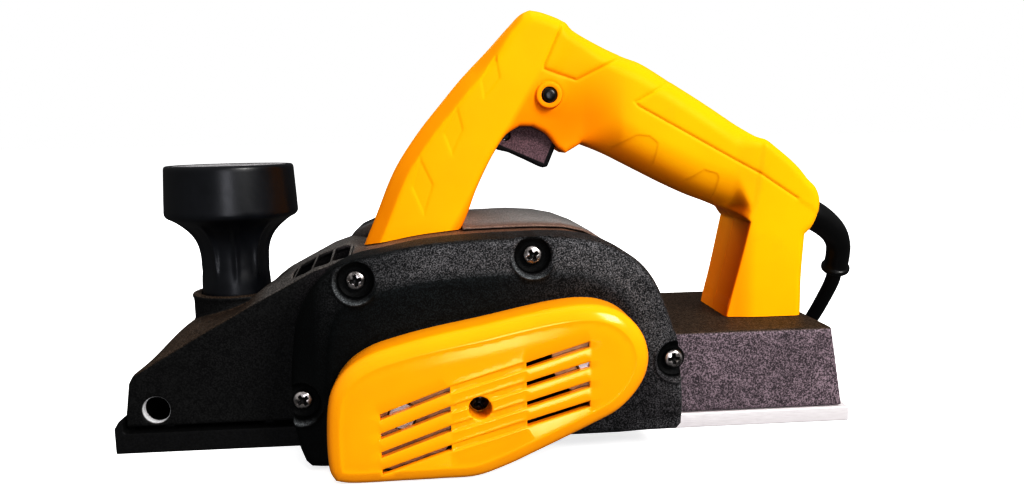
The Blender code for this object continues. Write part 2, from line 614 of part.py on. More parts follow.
cut(fan, cyl("Y", (MOTOR_X, MOTOR_Z), -50, -20, 4.0, 24))
finish(fan, "motor_fan", (0.08, 0.08, 0.08), 0.5)
ball_bearing("motor_bearing_front", MOTOR_X, MOTOR_Z, -43.4, -36.8, 4.0, 11.0)
ball_bearing("motor_bearing_rear", MOTOR_X, MOTOR_Z, 58.0, 64.0, 4.0, 9.5)
for k, s in enumerate((-1, 1)):
    h = box(MOTOR_X + min(s * 14.5, s * 30.6), MOTOR_X + max(s * 14.5, s * 30.6), 28.4, 39.6, MOTOR_Z - 5, MOTOR_Z + 5)
    cut(h, box(MOTOR_X - 40 if s < 0 else MOTOR_X + 10, MOTOR_X - 10 if s < 0 else MOTOR_X + 40,
               30.0, 38.0, MOTOR_Z - 3.4, MOTOR_Z + 3.4))
    finish(h, "brush_holder_%d" % (k + 1), BRASS, 0.35, 1.0)
    br = box(MOTOR_X + min(s * 11.95, s * 25.0), MOTOR_X + max(s * 11.95, s * 25.0), 30.4, 37.6, MOTOR_Z - 3.0, MOTOR_Z + 3.0)
    finish(br, "carbon_brush_%d" % (k + 1), (0.05, 0.05, 0.055), 0.6)

# ---------------------------------------------------------------- motor housing on the right side
HUMP = [(-64.0, 69.5), (-58.5, 76.5), (-50, 80.2), (-30, 83.0), (-6, 85.2), (10, 85.6), (22, 84.8),
        (31, 83.0), (39, 79.8), (50, 73.6), (58, 66.0), (63.5, 55.0)]
HOUSE = [(-64.0, 55.0)] + HUMP + [(66.0, 41.0), (63.0, 25.0), (55, 13), (42, 6.4), (28, 4.6), (14, 8), (4, 17),
                                 (-1.5, 30), (-5, 42), (-10, 50), (-18, 53.6), (-24, 54.8)]
house = prism(HOUSE, BASE_HALF_W + GAP, 58.0)
chamfer(house, 2.5, 1, test=lambda a, b: a.y > 57.9 and b.y > 57.9)
# the top fairing reaches over the deck, beside and behind the handle foot
over = 0.5
deck_up = [(x, z + over) for x, z in [(-64.0, 70.1 - 0.0)] + DECK[:-2]]
lip_a = prism([(-63.5, 70.0)] + HUMP[1:-2] + [(57.0, 66.4)] + list(reversed(deck_up[1:-1])), 21.5, 45.0)
lip_b = prism([(-8.0, 85.0), (10, 85.6), (22, 84.8), (31, 83.0), (39, 79.8), (50, 73.6)]
              + [(x, z + over) for x, z in ((46.5, 74.5), (39.0, 78.0), (31.0, 80.0), (20.0, 80.6), (7.0, 80.5), (-8.0, 80.15))],
              -24.0, 24.0)
chamfer(lip_b, 1.2, 1, test=lambda a, b: a.y < -23.9 and b.y < -23.9 and min(a.z, b.z) > 81)
join(house, lip_a, lip_b, cyl("Y", (MOTOR_X, MOTOR_Z), 50.0, 69.5, 34.6, 48))
cut(house, cyl("Y", (MOTOR_X, MOTOR_Z), 41.0, 75, MOTOR_BAY_R, 48))
# chip duct and its spout
cut(house, prism([(-57.5, 58.0), (-56, 66), (-46, 67.5), (-24, 69), (-18, 60), (-19.5, 57.6)], 30, 70))
finish(house, "motor_housing", BLACK, 0.55)

chute_out = [(-60.5, 56.3), (-60.0, 66.5), (-50, 72.5), (-22, 74.5), (-14.5, 62), (-16.5, 55.6)]
chute = prism(chute_out, 58.3, 74.0, holes=[inset(chute_out, 2.2)])
finish(chute, "chip_chute", BLACK, 0.5)

end_cap = cyl("Y", (MOTOR_X, MOTOR_Z), 69.8, 74.5, 34.6, 32)
chamfer(end_cap, 1.6, 1, test=lambda a, b: a.y > 74.4 and b.y > 74.4)
join(end_cap, cyl("Y", (MOTOR_X, MOTOR_Z), 57.5, 72.0, 13.0, 20))
cut(end_cap, cyl("Y", (MOTOR_X, MOTOR_Z), 50, 70.6, 9.9, 24))
for k in range(8):
    a = math.radians(22.5 + 45 * k)
    x0, z0 = MOTOR_X + 16.5 * math.cos(a), MOTOR_Z + 16.5 * math.sin(a)
    x1, z1 = MOTOR_X + 28.5 * math.cos(a), MOTOR_Z + 28.5 * math.sin(a)
    cut(end_cap, prism(slot_outline(x0, z0, x1, z1, 4.4), 60, 80))
finish(end_cap, "motor_end_cap", BLACK, 0.55)

# ---------------------------------------------------------------- handle, two halves
H_TOP = [(-50.8, 74.3), (-46.0, 85.1), (-37.1, 105.1), (-27.5, 119.4), (-18.0, 130.9), (-8.7, 141.6), (2.5, 152.9),
         (9.9, 160.8), (15.5, 166.3), (19.3, 168.2), (24.0, 167.2), (33.7, 163.2), (36.5, 160.2), (58.4, 149.6),
         (65.3, 147.0), (78.0, 139.3), (90.9, 131.3), (103.8, 122.8), (113.7, 115.9), (118.0, 114.3), (122.0, 111.3),
         (128.0, 106.4), (132.5, 102.1), (136.2, 97.6), (139.6, 94.2), (141.5, 89.5), (141.3, 83.5), (138.6, 77.0),
         (135.6, 74.0), (134.6, 56.0), (134.6, BOX_TOP + 0.4)]
H_IN = [(101.4, BOX_TOP + 0.4), (105.6, 57.0), (110.8, 80.0), (106.5, 83.6), (98.0, 87.4), (88.3, 91.2), (78.1, 96.0),
        (66.4, 102.0), (49.1, 110.9), (41.0, 114.4), (33.9, 110.4), (30.6, 112.6), (25.5, 118.6), (20.0, 121.6),
        (14.5, 121.8), (9.0, 118.6), (4.6, 112.8), (-0.6, 103.5), (-4.5, 95.3), (-7.4, 87.6), (-10.7, 80.5)]
FOOT = [(-27.7, 78.8), (-39.0, 76.8)]
HANDLE = H_TOP + H_IN + FOOT
CAVITY = [(-43, 81), (-35, 100), (-22, 120), (0, 145), (14, 158), (22, 162), (40, 154.5), (64, 142), (98, 120),
          (112, 111), (124, 104), (132.5, 93), (135, 84), (130.5, 75), (130, 44), (106.5, 44), (110, 57), (115.5, 80),
          (109, 87.5), (92, 94.5), (70, 104.5), (52, 114), (42, 118.5), (36, 117), (24, 126), (10, 125), (2, 114),
          (-7, 98), (-14, 83.5)]
H_SCREWS = [(-28.0, 92.0), (8.0, 147.5), (122.0, 62.0)]
PIN = (9.2, 118.0)
BUTTON = (26.4, 134.0)
TRIG_SLOT = [(2.0, 100.0), (2.0, 114.0), (6.0, 126.2), (32.8, 126.2), (32.8, 100.0)]
GUARD_DIR = Vector((1.0, 0.0, -0.30)).normalized()

for side, name in ((-1, "handle_left"), (1, "handle_right")):
    lo, hi = sorted((side * 0.15, side * HANDLE_HALF_W))
    h = prism(HANDLE, lo, hi)
    chamfer(h, 2.4, 1, test=lambda a, b: abs(a.y) > HANDLE_HALF_W - 0.1 and abs(b.y) > HANDLE_HALF_W - 0.1)
    c0, c1 = sorted((side * -2.0, side * (HANDLE_HALF_W - 3.0)))
    cut(h, prism(CAVITY, c0, c1))
    for sx, sz in H_SCREWS:
        p0, p1 = sorted((side * 0.3, side * (HANDLE_HALF_W - 2.5)))
        join(h, cyl("Y", (sx, sz), p0, p1, 4.8, 12))
    p0, p1 = sorted((side * 9.4, side * (HANDLE_HALF_W - 2.5)))
    join(h, cyl("Y", PIN, p0, p1, 3.6, 12))
    cut(h, prism(TRIG_SLOT, -8.7, 8.7))
    q0, q1 = sorted((side * 5.0, side * (HANDLE_HALF_W - 3.2)))
    cut(h, cyl("Y", PIN, q0, q1, 1.8, 10))
    for sx, sz in H_SCREWS:
        if side > 0:
            cut(h, cyl("Y", (sx, sz), -1, 30, 2.15, 8), cyl("Y", (sx, sz), 15.0, 30, 4.0, 16))
        else:
            cut(h, cyl("Y", (sx, sz), -13.5, 1, 2.15, 8))
    bm = bmesh.new()
    bmesh.ops.create_cone(bm, cap_ends=True, segments=28, radius1=8.2 * MM, radius2=8.2 * MM, depth=0.05)
    rot = Vector((0, 0, 1)).rotation_difference(GUARD_DIR).to_matrix().to_4x4()
    bmesh.ops.transform(bm, matrix=Matrix.Translation(Vector((143.0, 0, 81.9)) * MM) @ rot, verts=bm.verts)
    g = from_bmesh(bm)
    # the guard's hole starts inside the shell and leaves the foot alone
    cut(h, g)
    if side < 0:
        join(h, cyl("Y", BUTTON, -20.3, -18.0, 5.3, 24))
        cut(h, cyl("Y", BUTTON, -22.0, -12.0, 3.3, 20))
    finish(h, name, YELLOW, 0.4)

for k, (sx, sz) in enumerate(H_SCREWS):
    s = turned([(0, 17.6), (2.2, 17.6), (3.5, 16.6), (3.5, 15.3), (1.75, 15.3), (1.75, -12.0), (0.8, -13.0), (0, -13.0)],
               "Y", (sx, sz), 12)
    cut(s, box(sx - 1.9, sx + 1.9, 16.4, 19, sz - 0.6, sz + 0.6))
    cut(s, box(sx - 0.6, sx + 0.6, 16.4, 19, sz - 1.9, sz + 1.9))
    finish(s, "handle_screw_%d" % (k + 1), STEEL, 0.3, 1.0)

# ---------------------------------------------------------------- switch parts
switch = box(17.5, 49.0, -10.0, 10.0, 127.5, 144.5)
chamfer(switch, 1.0, 1)
finish(switch, "switch_body", (0.03, 0.03, 0.035), 0.5)
trigger = prism([(4.9, 112.9), (5.3, 116.5), (7.2, 120.6), (10.5, 122.3), (27.5, 121.6), (29.8, 119.5), (30.2, 113.2),
                 (26.6, 104.8), (24.6, 104.3), (18.0, 107.6), (11.0, 110.9), (6.5, 112.0)], -8.0, 8.0)
chamfer(trigger, 0.8, 1, test=lambda a, b: abs(a.y) > 7.9 and abs(b.y) > 7.9)
cut(trigger, cyl("Y", PIN, -10, 10, 1.75, 16))
finish(trigger, "trigger", BROWN, 0.5)
tpin = cyl("Y", PIN, -15.4, 15.4, 1.45, 14)
finish(tpin, "trigger_pin", STEEL, 0.3, 1.0)
button = turned([(0, -21.6), (2.4, -21.6), (3.0, -21.0), (3.0, -15.6), (4.3, -15.6), (4.3, -14.3), (0, -14.3)], "Y",
                BUTTON, 24)
finish(button, "lock_button", BLACK, 0.3)

# ---------------------------------------------------------------- cord guard, cord, coil and plug
G_PTS = [(133.0, 0.0, 84.9), (139.0, 0.0, 83.2), (145.2, 0.1, 81.0), (151.6, 0.8, 77.4), (157.4, 1.8, 72.3),
         (160.6, 3.3, 66.6), (161.6, 5.2, 61.2), (162.0, 7.4, 56.4)]
g_line = smooth_route(G_PTS, 22)
g_rad = []
for i in range(22):
    t = i / 21
    g_rad.append(7.5 - 2.3 * min(t / 0.75, 1.0))
guard = tube([tuple(p) for p in g_line], g_rad, 3)
end_dir = (g_line[-1] - g_line[-2]).normalized()
collar_a = g_line[-1] - end_dir * 1.2
collar_b = g_line[-1] + end_dir * 2.6
join(guard, tube([tuple(collar_a), tuple(collar_b)], [6.2, 6.2], 3))
finish(guard, "cord_guard", RUBBER, 0.45)
clamp = box(118.5, 131.5, -9.0, 9.0, 80.5, 91.0)
chamfer(clamp, 1.0, 1)
finish(clamp, "cord_clamp", BLACK, 0.5)

# coil of stored cord lying behind the tool
COIL_C = (45.0, 143.0)
COIL_R = 36.0              # middle of the turns
COIL_Z0 = 1.25             # the tie passes under the coil
IN_Y = COIL_C[1] - (COIL_R + CORD_D)


def cord_route():
    s = g_line[-1] + end_dir * (2.6 + GAP + 0.1)
    return [tuple(s), tuple(s + end_dir * 5.0), (163.0, 17.5, 41.5), (163.4, 32.0, 26.5), (163.6, 47.0, 13.6), (162.4, 63.0, 5.8),
            (157.5, 78.0, 3.6), (147.5, 90.5, 3.45), (133.0, 98.0, 3.5), (116.0, IN_Y + 0.4, 3.7),
            (98.0, IN_Y, 4.1), (71.5, IN_Y, 4.5)]


run = smooth_route(cord_route(), 21)
finish(tube([tuple(p) for p in run], [CORD_D / 2] * 21, 2), "supply_cord", RUBBER, 0.5)
w = 1.5 * CORD_D
ring = turned([(COIL_R - w, COIL_Z0 + 2), (COIL_R - w + 2, COIL_Z0), (COIL_R + w - 2, COIL_Z0), (COIL_R + w, COIL_Z0 + 2),
               (COIL_R + w, COIL_Z0 + 2 * w - 2), (COIL_R + w - 2, COIL_Z0 + 2 * w), (COIL_R - w + 2, COIL_Z0 + 2 * w),
               (COIL_R - w, COIL_Z0 + 2 * w - 2)], "Z", COIL_C, 28)
finish(ring, "cord_coil", RUBBER, 0.5)
tie_in = [(COIL_C[1] + s * (COIL_R + a), b) for s, a, b in
          ((1, -w - 0.8, COIL_Z0 - GAP), (1, w + GAP, COIL_Z0 - GAP), (1, w + GAP, COIL_Z0 + 2 * w + GAP), (1, -w - 0.8, COIL_Z0 + 2 * w + GAP))]
y_in0, y_in1 = COIL_C[1] + COIL_R - w - 0.8, COIL_C[1] + COIL_R + w + GAP
tie_out = [(y_in0 - 0.9, 0.05), (y_in1 + 0.9, 0.05), (y_in1 + 0.9, COIL_Z0 + 2 * w + GAP + 0.9), (y_in0 - 0.9, COIL_Z0 + 2 * w + GAP + 0.9)]
tie = prism(tie_out, COIL_C[0] - 4.5, COIL_C[0] + 4.5, axis="X", holes=[tie_in])
finish(tie, "cord_tie", (0.03, 0.03, 0.032), 0.6)

top_z = COIL_Z0 + CORD_D * 2.5
tail = smooth_route([(18.5, IN_Y, top_z - 2.2), (8.0, IN_Y - 0.3, 12.6), (-4.0, IN_Y - 0.8, 9.4), (-16.0, IN_Y - 1.0, 7.5), (-26.0, IN_Y - 1.0, 7.0)], 8)
finish(tube([tuple(p) for p in tail], [CORD_D / 2] * 8, 2), "cord_tail", RUBBER, 0.5)
PLUG_Y, PLUG_Z = IN_Y - 1.0, 7.0
plug = prism([(-27.0, PLUG_Y - 5.2), (-40.0, PLUG_Y - 6.2), (-46.0, PLUG_Y - 12.2), (-62.0, PLUG_Y - 13.0),
              (-64.0, PLUG_Y - 11.5), (-64.0, PLUG_Y + 11.5), (-62.0, PLUG_Y + 13.0), (-46.0, PLUG_Y + 12.2),
              (-40.0, PLUG_Y + 6.2), (-27.0, PLUG_Y + 5.2)], 0.25, 13.75, axis="Z")
chamfer(plug, 2.0, 2, test=lambda a, b: (a.z > 13.7 and b.z > 13.7) or (a.z < 0.3 and b.z < 0.3))
for s in (-1, 1):
    cut(plug, cyl("X", (PLUG_Y + s * 9.5, PLUG_Z), -66, -58, 2.35, 16))
finish(plug, "plug_body", BLACK, 0.45)
for k, s in enumerate((-1, 1)):
    p = turned([(0, 0), (2.0, 0), (2.0, -23.4), (1.2, -24.4), (0, -24.4)], "X", (PLUG_Y + s * 9.5, PLUG_Z), 16)
    for v in p.data.vertices:
        v.co.x += -58.4 * MM
    finish(p, "plug_pin_%d" % (k + 1), BRASS, 0.25, 1.0)

# ---------------------------------------------------------------- pivots on their axes
PIVOTS = {
    "depth_knob": (KNOB_X, 0, 70), "knob_cap": (KNOB_X, 0, 70), "knob_retainer": (KNOB_X, 0, 70),
    "cutter_drum": (DRUM_X, 0, DRUM_Z), "blade_1": (DRUM_X, 0, DRUM_Z), "blade_2": (DRUM_X, 0, DRUM_Z),
    "blade_clamp_1": (DRUM_X, 0, DRUM_Z), "blade_clamp_2": (DRUM_X, 0, DRUM_Z), "drum_pulley": (DRUM_X, 0, DRUM_Z),
    "motor_shaft": (MOTOR_X, 0, MOTOR_Z), "armature": (MOTOR_X, 0, MOTOR_Z), "commutator": (MOTOR_X, 0, MOTOR_Z),
    "motor_fan": (MOTOR_X, 0, MOTOR_Z), "motor_pulley": (MOTOR_X, 0, MOTOR_Z),
    "trigger": (PIN[0], 0, PIN[1]), "lock_button": (BUTTON[0], -18, BUTTON[1]),
    "front_shoe": (KNOB_X, 0, 0), "depth_stud": (KNOB_X, 0, 0),
}
for name, p in PIVOTS.items():
    ob = bpy.data.objects[name]
    t = Vector(p) * MM
    ob.data.transform(Matrix.Translation(-t))
    ob.location = t

for c in list(cut_col.objects):
    c.hide_render = True
    c.display_type = "WIRE"
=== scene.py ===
import json
import math

import bmesh
import bpy
import numpy as np
from mathutils import Matrix, Vector, geometry

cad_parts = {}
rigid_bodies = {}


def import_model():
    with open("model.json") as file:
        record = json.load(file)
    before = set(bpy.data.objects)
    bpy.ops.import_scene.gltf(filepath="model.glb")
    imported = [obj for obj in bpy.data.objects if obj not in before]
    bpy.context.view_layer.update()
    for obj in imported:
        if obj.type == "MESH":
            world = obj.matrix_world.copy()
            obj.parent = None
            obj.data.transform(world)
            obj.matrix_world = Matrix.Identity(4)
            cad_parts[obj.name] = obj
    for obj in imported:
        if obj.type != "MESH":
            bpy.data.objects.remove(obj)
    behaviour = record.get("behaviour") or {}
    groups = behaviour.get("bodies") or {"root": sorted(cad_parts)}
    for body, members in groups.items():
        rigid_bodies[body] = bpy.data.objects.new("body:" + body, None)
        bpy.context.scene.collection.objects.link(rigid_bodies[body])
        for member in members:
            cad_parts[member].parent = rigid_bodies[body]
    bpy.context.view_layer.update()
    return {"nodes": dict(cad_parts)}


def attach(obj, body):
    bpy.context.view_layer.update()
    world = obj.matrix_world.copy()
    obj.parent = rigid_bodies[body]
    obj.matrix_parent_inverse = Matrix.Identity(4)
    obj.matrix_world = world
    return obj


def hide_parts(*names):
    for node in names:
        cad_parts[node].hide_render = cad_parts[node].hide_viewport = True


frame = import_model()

MM = 0.001
scene = bpy.context.scene

# ------------------------------------------------------------------ camera
POS = (-14.0655, -345.5157, 117.0524)
YAW, PITCH, ROLL, FOCAL = 0.0740799, -0.1324281, -0.0190680, 800.0
fwd = Vector((math.sin(YAW) * math.cos(PITCH), math.cos(YAW) * math.cos(PITCH), math.sin(PITCH)))
right = Vector((math.cos(YAW), -math.sin(YAW), 0.0))
up = right.cross(fwd)
r2 = right * math.cos(ROLL) + up * math.sin(ROLL)
u2 = -right * math.sin(ROLL) + up * math.cos(ROLL)
cam_data = bpy.data.cameras.new("camera")
cam_data.sensor_width = 36.0
cam_data.lens = FOCAL * 36.0 / 1024.0
cam_data.clip_start = 0.01
cam = bpy.data.objects.new("camera", cam_data)
scene.collection.objects.link(cam)
m = Matrix(((r2.x, u2.x, -fwd.x), (r2.y, u2.y, -fwd.y), (r2.z, u2.z, -fwd.z))).to_4x4()
m.translation = Vector(POS) * MM
cam.matrix_world = m
scene.camera = cam


# ------------------------------------------------------------------ node helpers
class Mat:
    """A small builder of node materials in object coordinates, metres."""

    def __init__(self, name):
        self.m = bpy.data.materials.new(name)
        self.m.use_nodes = True
        self.t = self.m.node_tree
        self.b = self.t.nodes["Principled BSDF"]
        self.co = self.t.nodes.new("ShaderNodeTexCoord").outputs["Object"]

    def node(self, kind, **props):
        n = self.t.nodes.new(kind)
        for k, v in props.items():
            setattr(n, k, v)
        return n

    def link(self, a, b):
        self.t.links.new(a, b)

    def noise(self, scale, detail=4.0, rough=0.55, out="Fac", stretch=None, distort=0.0):
        n = self.node("ShaderNodeTexNoise")
        n.inputs["Scale"].default_value = scale
        n.inputs["Detail"].default_value = detail
        n.inputs["Roughness"].default_value = rough
        n.inputs["Distortion"].default_value = distort
        co = self.co
        if stretch:
            mp = self.node("ShaderNodeMapping")
            mp.inputs["Scale"].default_value = stretch
            self.link(self.co, mp.inputs["Vector"])
            co = mp.outputs["Vector"]
        self.link(co, n.inputs["Vector"])
        return n.outputs[out]

    def voronoi(self, scale, feature="F1", out="Distance"):
        n = self.node("ShaderNodeTexVoronoi", feature=feature)
        n.inputs["Scale"].default_value = scale
        self.link(self.co, n.inputs["Vector"])
        return n.outputs[out]

    def ramp(self, fac, stops, interp="LINEAR"):
        n = self.node("ShaderNodeValToRGB")
        n.color_ramp.interpolation = interp
        el = n.color_ramp.elements
        while len(el) < len(stops):
            el.new(0.5)
        for e, (p, c) in zip(el, stops):
            e.position = p
            e.color = (*c, 1.0) if len(c) == 3 else c
        self.link(fac, n.inputs["Fac"])
        return n.outputs["Color"]

    def remap(self, fac, a, b, lo, hi):
        n = self.node("ShaderNodeMapRange")
        n.clamp = True
        self.link(fac, n.inputs["Value"])
        for k, v in zip(("From Min", "From Max", "To Min", "To Max"), (a, b, lo, hi)):
            n.inputs[k].default_value = v
        return n.outputs["Result"]

    def mix(self, fac, a, b, mode="MIX"):
        n = self.node("ShaderNodeMix", data_type="RGBA", blend_type=mode)
        for sock, v in ((n.inputs["Factor"], fac), (n.inputs[6], a), (n.inputs[7], b)):
            if hasattr(v, "is_output") or hasattr(v, "links"):
                self.link(v, sock)
            elif isinstance(v, (tuple, list)):
                sock.default_value = (*v, 1.0) if len(v) == 3 else v
            else:
                sock.default_value = v
        return n.outputs[2]

    def math(self, op, a, b=0.0):
        n = self.node("ShaderNodeMath", operation=op)
        for sock, v in ((n.inputs[0], a), (n.inputs[1], b)):
            if hasattr(v, "links"):
                self.link(v, sock)
            else:
                sock.default_value = v
        return n.outputs[0]

    def pos(self, axis):
        """A coordinate of the surface point, in metres."""
        n = self.node("ShaderNodeSeparateXYZ")
        self.link(self.co, n.inputs[0])
        return n.outputs[axis]

    def normal(self, axis):
        n = self.node("ShaderNodeSeparateXYZ")
        self.link(self.node("ShaderNodeNewGeometry").outputs["Normal"], n.inputs[0])
        return n.outputs[axis]

    def hollow(self, lo=0.40, hi=0.475):
        """1 in sharp recesses, 0 elsewhere."""
        g = self.node("ShaderNodeNewGeometry")
        return self.remap(g.outputs["Pointiness"], lo, hi, 1.0, 0.0)

    def grains(self, size):
        """Height of a fine spark-eroded grain."""
        n1 = self.noise(size, 3.0, 0.62)
        n2 = self.noise(size * 0.16, 3.0, 0.55)
        return self.math("ADD", self.math("MULTIPLY", n1, 0.85), self.math("MULTIPLY", n2, 0.15))

    def edge(self, lo=0.52, hi=0.62):
        """1 on convex edges, 0 elsewhere."""
        g = self.node("ShaderNodeNewGeometry")
        return self.remap(g.outputs["Pointiness"], lo, hi, 0.0, 1.0)

    def bump(self, *layers):
        """Layers of (height socket, strength, distance in metres)."""
        last = None
        for h, s, d in layers:
            n = self.node("ShaderNodeBump")
            n.inputs["Strength"].default_value = s
            n.inputs["Distance"].default_value = d
            self.link(h, n.inputs["Height"])
            if last is not None:
                self.link(last, n.inputs["Normal"])
            last = n.outputs["Normal"]
        self.link(last, self.b.inputs["Normal"])

    def set(self, **vals):
        names = {"color": "Base Color", "rough": "Roughness", "metal": "Metallic", "coat": "Coat Weight",
                 "coat_rough": "Coat Roughness", "spec": "Specular IOR Level", "sss": "Subsurface Weight",
                 "sss_r": "Subsurface Radius", "sss_s": "Subsurface Scale", "ior": "IOR", "aniso": "Anisotropic"}
        for k, v in vals.items():
            s = self.b.inputs[names[k]]
            if hasattr(v, "links"):
                self.link(v, s)
            elif isinstance(v, (tuple, list)) and k == "color":
                s.default_value = (*v, 1.0)
            else:
                s.default_value = v
        return self


def make_yellow(name, bright, deep, rough_lo, rough_hi, grain, spec, tint=(1.0, 1.0, 1.0), shade=None):
    a = Mat(name)
    blotch = a.noise(18.0, 3.0, 0.6)
    fine = a.noise(900.0, 3.0, 0.6)
    col = a.mix(a.remap(blotch, 0.35, 0.65, 0.0, 1.0), bright, deep)
    dust = a.remap(a.noise(70.0, 6.0, 0.7), 0.60, 0.78, 0.0, 0.10)
    col = a.mix(dust, col, (0.62, 0.22, 0.02))
    # painted highlight: convex edges are coloured a lighter yellow
    col = a.mix(a.math("MULTIPLY", a.edge(0.54, 0.66), 0.22), col, (1.0, 0.56, 0.05))
    # painted shade: sharp recesses are coloured a darker orange
    col = a.mix(a.math("MULTIPLY", a.hollow(0.42, 0.485), 0.55), col, (0.60, 0.15, 0.001))
    # painted shade: the zone that shade gives is coloured a deeper orange
    if shade:
        col = a.mix(shade(a), col, (0.90, 0.225, 0.0006))
        # the leg's inner face, away from the light
        face = a.math("MULTIPLY", a.remap(a.normal("X"), -0.80, -0.45, 1.0, 0.0), a.remap(a.pos("X"), 0.085, 0.095, 0.0, 1.0))
        face = a.math("MULTIPLY", face, a.remap(a.pos("Y"), -0.019, 0.008, 0.85, 0.12))
        col = a.mix(face, col, (0.34, 0.035, 0.0003))
        # painted shade: the leading-edge facet of the front leg is coloured darker orange
        lead = a.math("MULTIPLY", a.remap(a.normal("X"), -0.50, -0.34, 0.50, 0.0), a.remap(a.pos("X"), 0.018, 0.024, 1.0, 0.0))
        col = a.mix(lead, col, (0.78, 0.20, 0.0006))
    a.b.inputs["Specular Tint"].default_value = (*tint, 1.0)
    rough = a.remap(a.noise(55.0, 5.0, 0.65), 0.3, 0.7, rough_lo, rough_hi)
    scratch = a.noise(60.0, 2.0, 0.5, stretch=(1.0, 1.0, 14.0))
    a.set(color=col, rough=rough, spec=spec)
    a.bump((a.noise(7.0, 2.0, 0.4), 0.12, 0.0006), (scratch, 0.05, 0.00008), (fine, grain, 0.00007))
    return a.m


def make_texture(name, dark, light, rough_lo, rough_hi, grain, size=1500.0, edge_wear_and_highlight=0.3, spec=0.15, tint=None, zones=(), cut=(0.41, 0.62)):
    """Spark-eroded plastic or powder-coated casting: small pits and grains with bright tips.

    zones are (factor builder, dark, light) that change the colour pair over part of the surface.
    """
    a = Mat(name)
    h = a.grains(size)
    tips = a.remap(h, cut[0], cut[1], 0.0, 1.0)
    for build, d2, l2 in zones:
        f = build(a)
        dark = a.mix(f, dark, d2)
        light = a.mix(f, light, l2)
    col = a.mix(tips, dark, light)
    blotch = a.remap(a.noise(26.0, 4.0, 0.6), 0.35, 0.68, 0.0, 0.30)
    col = a.mix(blotch, col, dark)
    if tint:
        dust = a.remap(a.noise(210.0, 6.0, 0.75), 0.60, 0.80, 0.0, 0.16)
        col = a.mix(dust, col, tint)
    # convex edges lighter: edge wear and painted highlight
    col = a.mix(a.math("MULTIPLY", a.edge(0.53, 0.64), edge_wear_and_highlight), col, a.mix(0.30, light, (0.16, 0.155, 0.15)))
    rough = a.remap(h, 0.35, 0.7, rough_hi, rough_lo)
    a.set(color=col, rough=rough, spec=spec)
    a.bump((a.noise(30.0, 3.0, 0.5), 0.15, 0.0004), (h, grain, 0.00022))
    return a.m


def make_metal(name, lo, hi, rough_lo, rough_hi, line=(1.0, 14.0, 1.0), scale=260.0, tarnish=0.25, depth=0.00004, metal=1.0):
    a = Mat(name)
    lines = a.noise(scale, 4.0, 0.6, stretch=line)
    fine = a.noise(scale * 5.0, 2.0, 0.5, stretch=line)
    spots = a.remap(a.noise(160.0, 6.0, 0.7), 0.56, 0.76, 0.0, tarnish)
    col = a.mix(a.remap(lines, 0.3, 0.7, 0.0, 1.0), lo, hi)
    col = a.mix(spots, col, tuple(0.45 * c for c in lo))
    # convex edges lighter: wear and painted highlight
    col = a.mix(a.math("MULTIPLY", a.edge(0.53, 0.63), 0.5), col, tuple(min(1.0, c * 1.25) for c in hi))
    rough = a.remap(lines, 0.3, 0.7, rough_lo, rough_hi)
    a.set(color=col, rough=rough, metal=metal)
    a.bump((lines, 0.25, depth), (fine, 0.2, depth * 0.6), (a.noise(35.0, 3.0, 0.5), 0.1, 0.0003))
    return a.m


def make_smooth(name, base, light, rough_lo, rough_hi, grain=0.1, scale=1200.0, edge_wear_and_highlight=0.2, spec=0.22, dusty=(0.05, 0.047, 0.044)):
    a = Mat(name)
    fine = a.noise(scale, 3.0, 0.6)
    smear = a.noise(45.0, 5.0, 0.65, distort=0.6)
    col = a.mix(a.remap(smear, 0.35, 0.7, 0.0, 0.7), base, light)
    dust = a.remap(a.noise(140.0, 6.0, 0.75), 0.60, 0.80, 0.0, 0.14)
    col = a.mix(dust, col, dusty)
    # convex edges lighter: edge wear and painted highlight
    col = a.mix(a.math("MULTIPLY", a.edge(0.53, 0.64), edge_wear_and_highlight), col, tuple(min(1.0, 2.0 * c + 0.03) for c in light))
    rough = a.remap(smear, 0.3, 0.7, rough_lo, rough_hi)
    a.set(color=col, rough=rough, spec=spec)
    a.bump((a.noise(14.0, 2.0, 0.5), 0.1, 0.0003), (fine, grain, 0.00006))
    return a.m


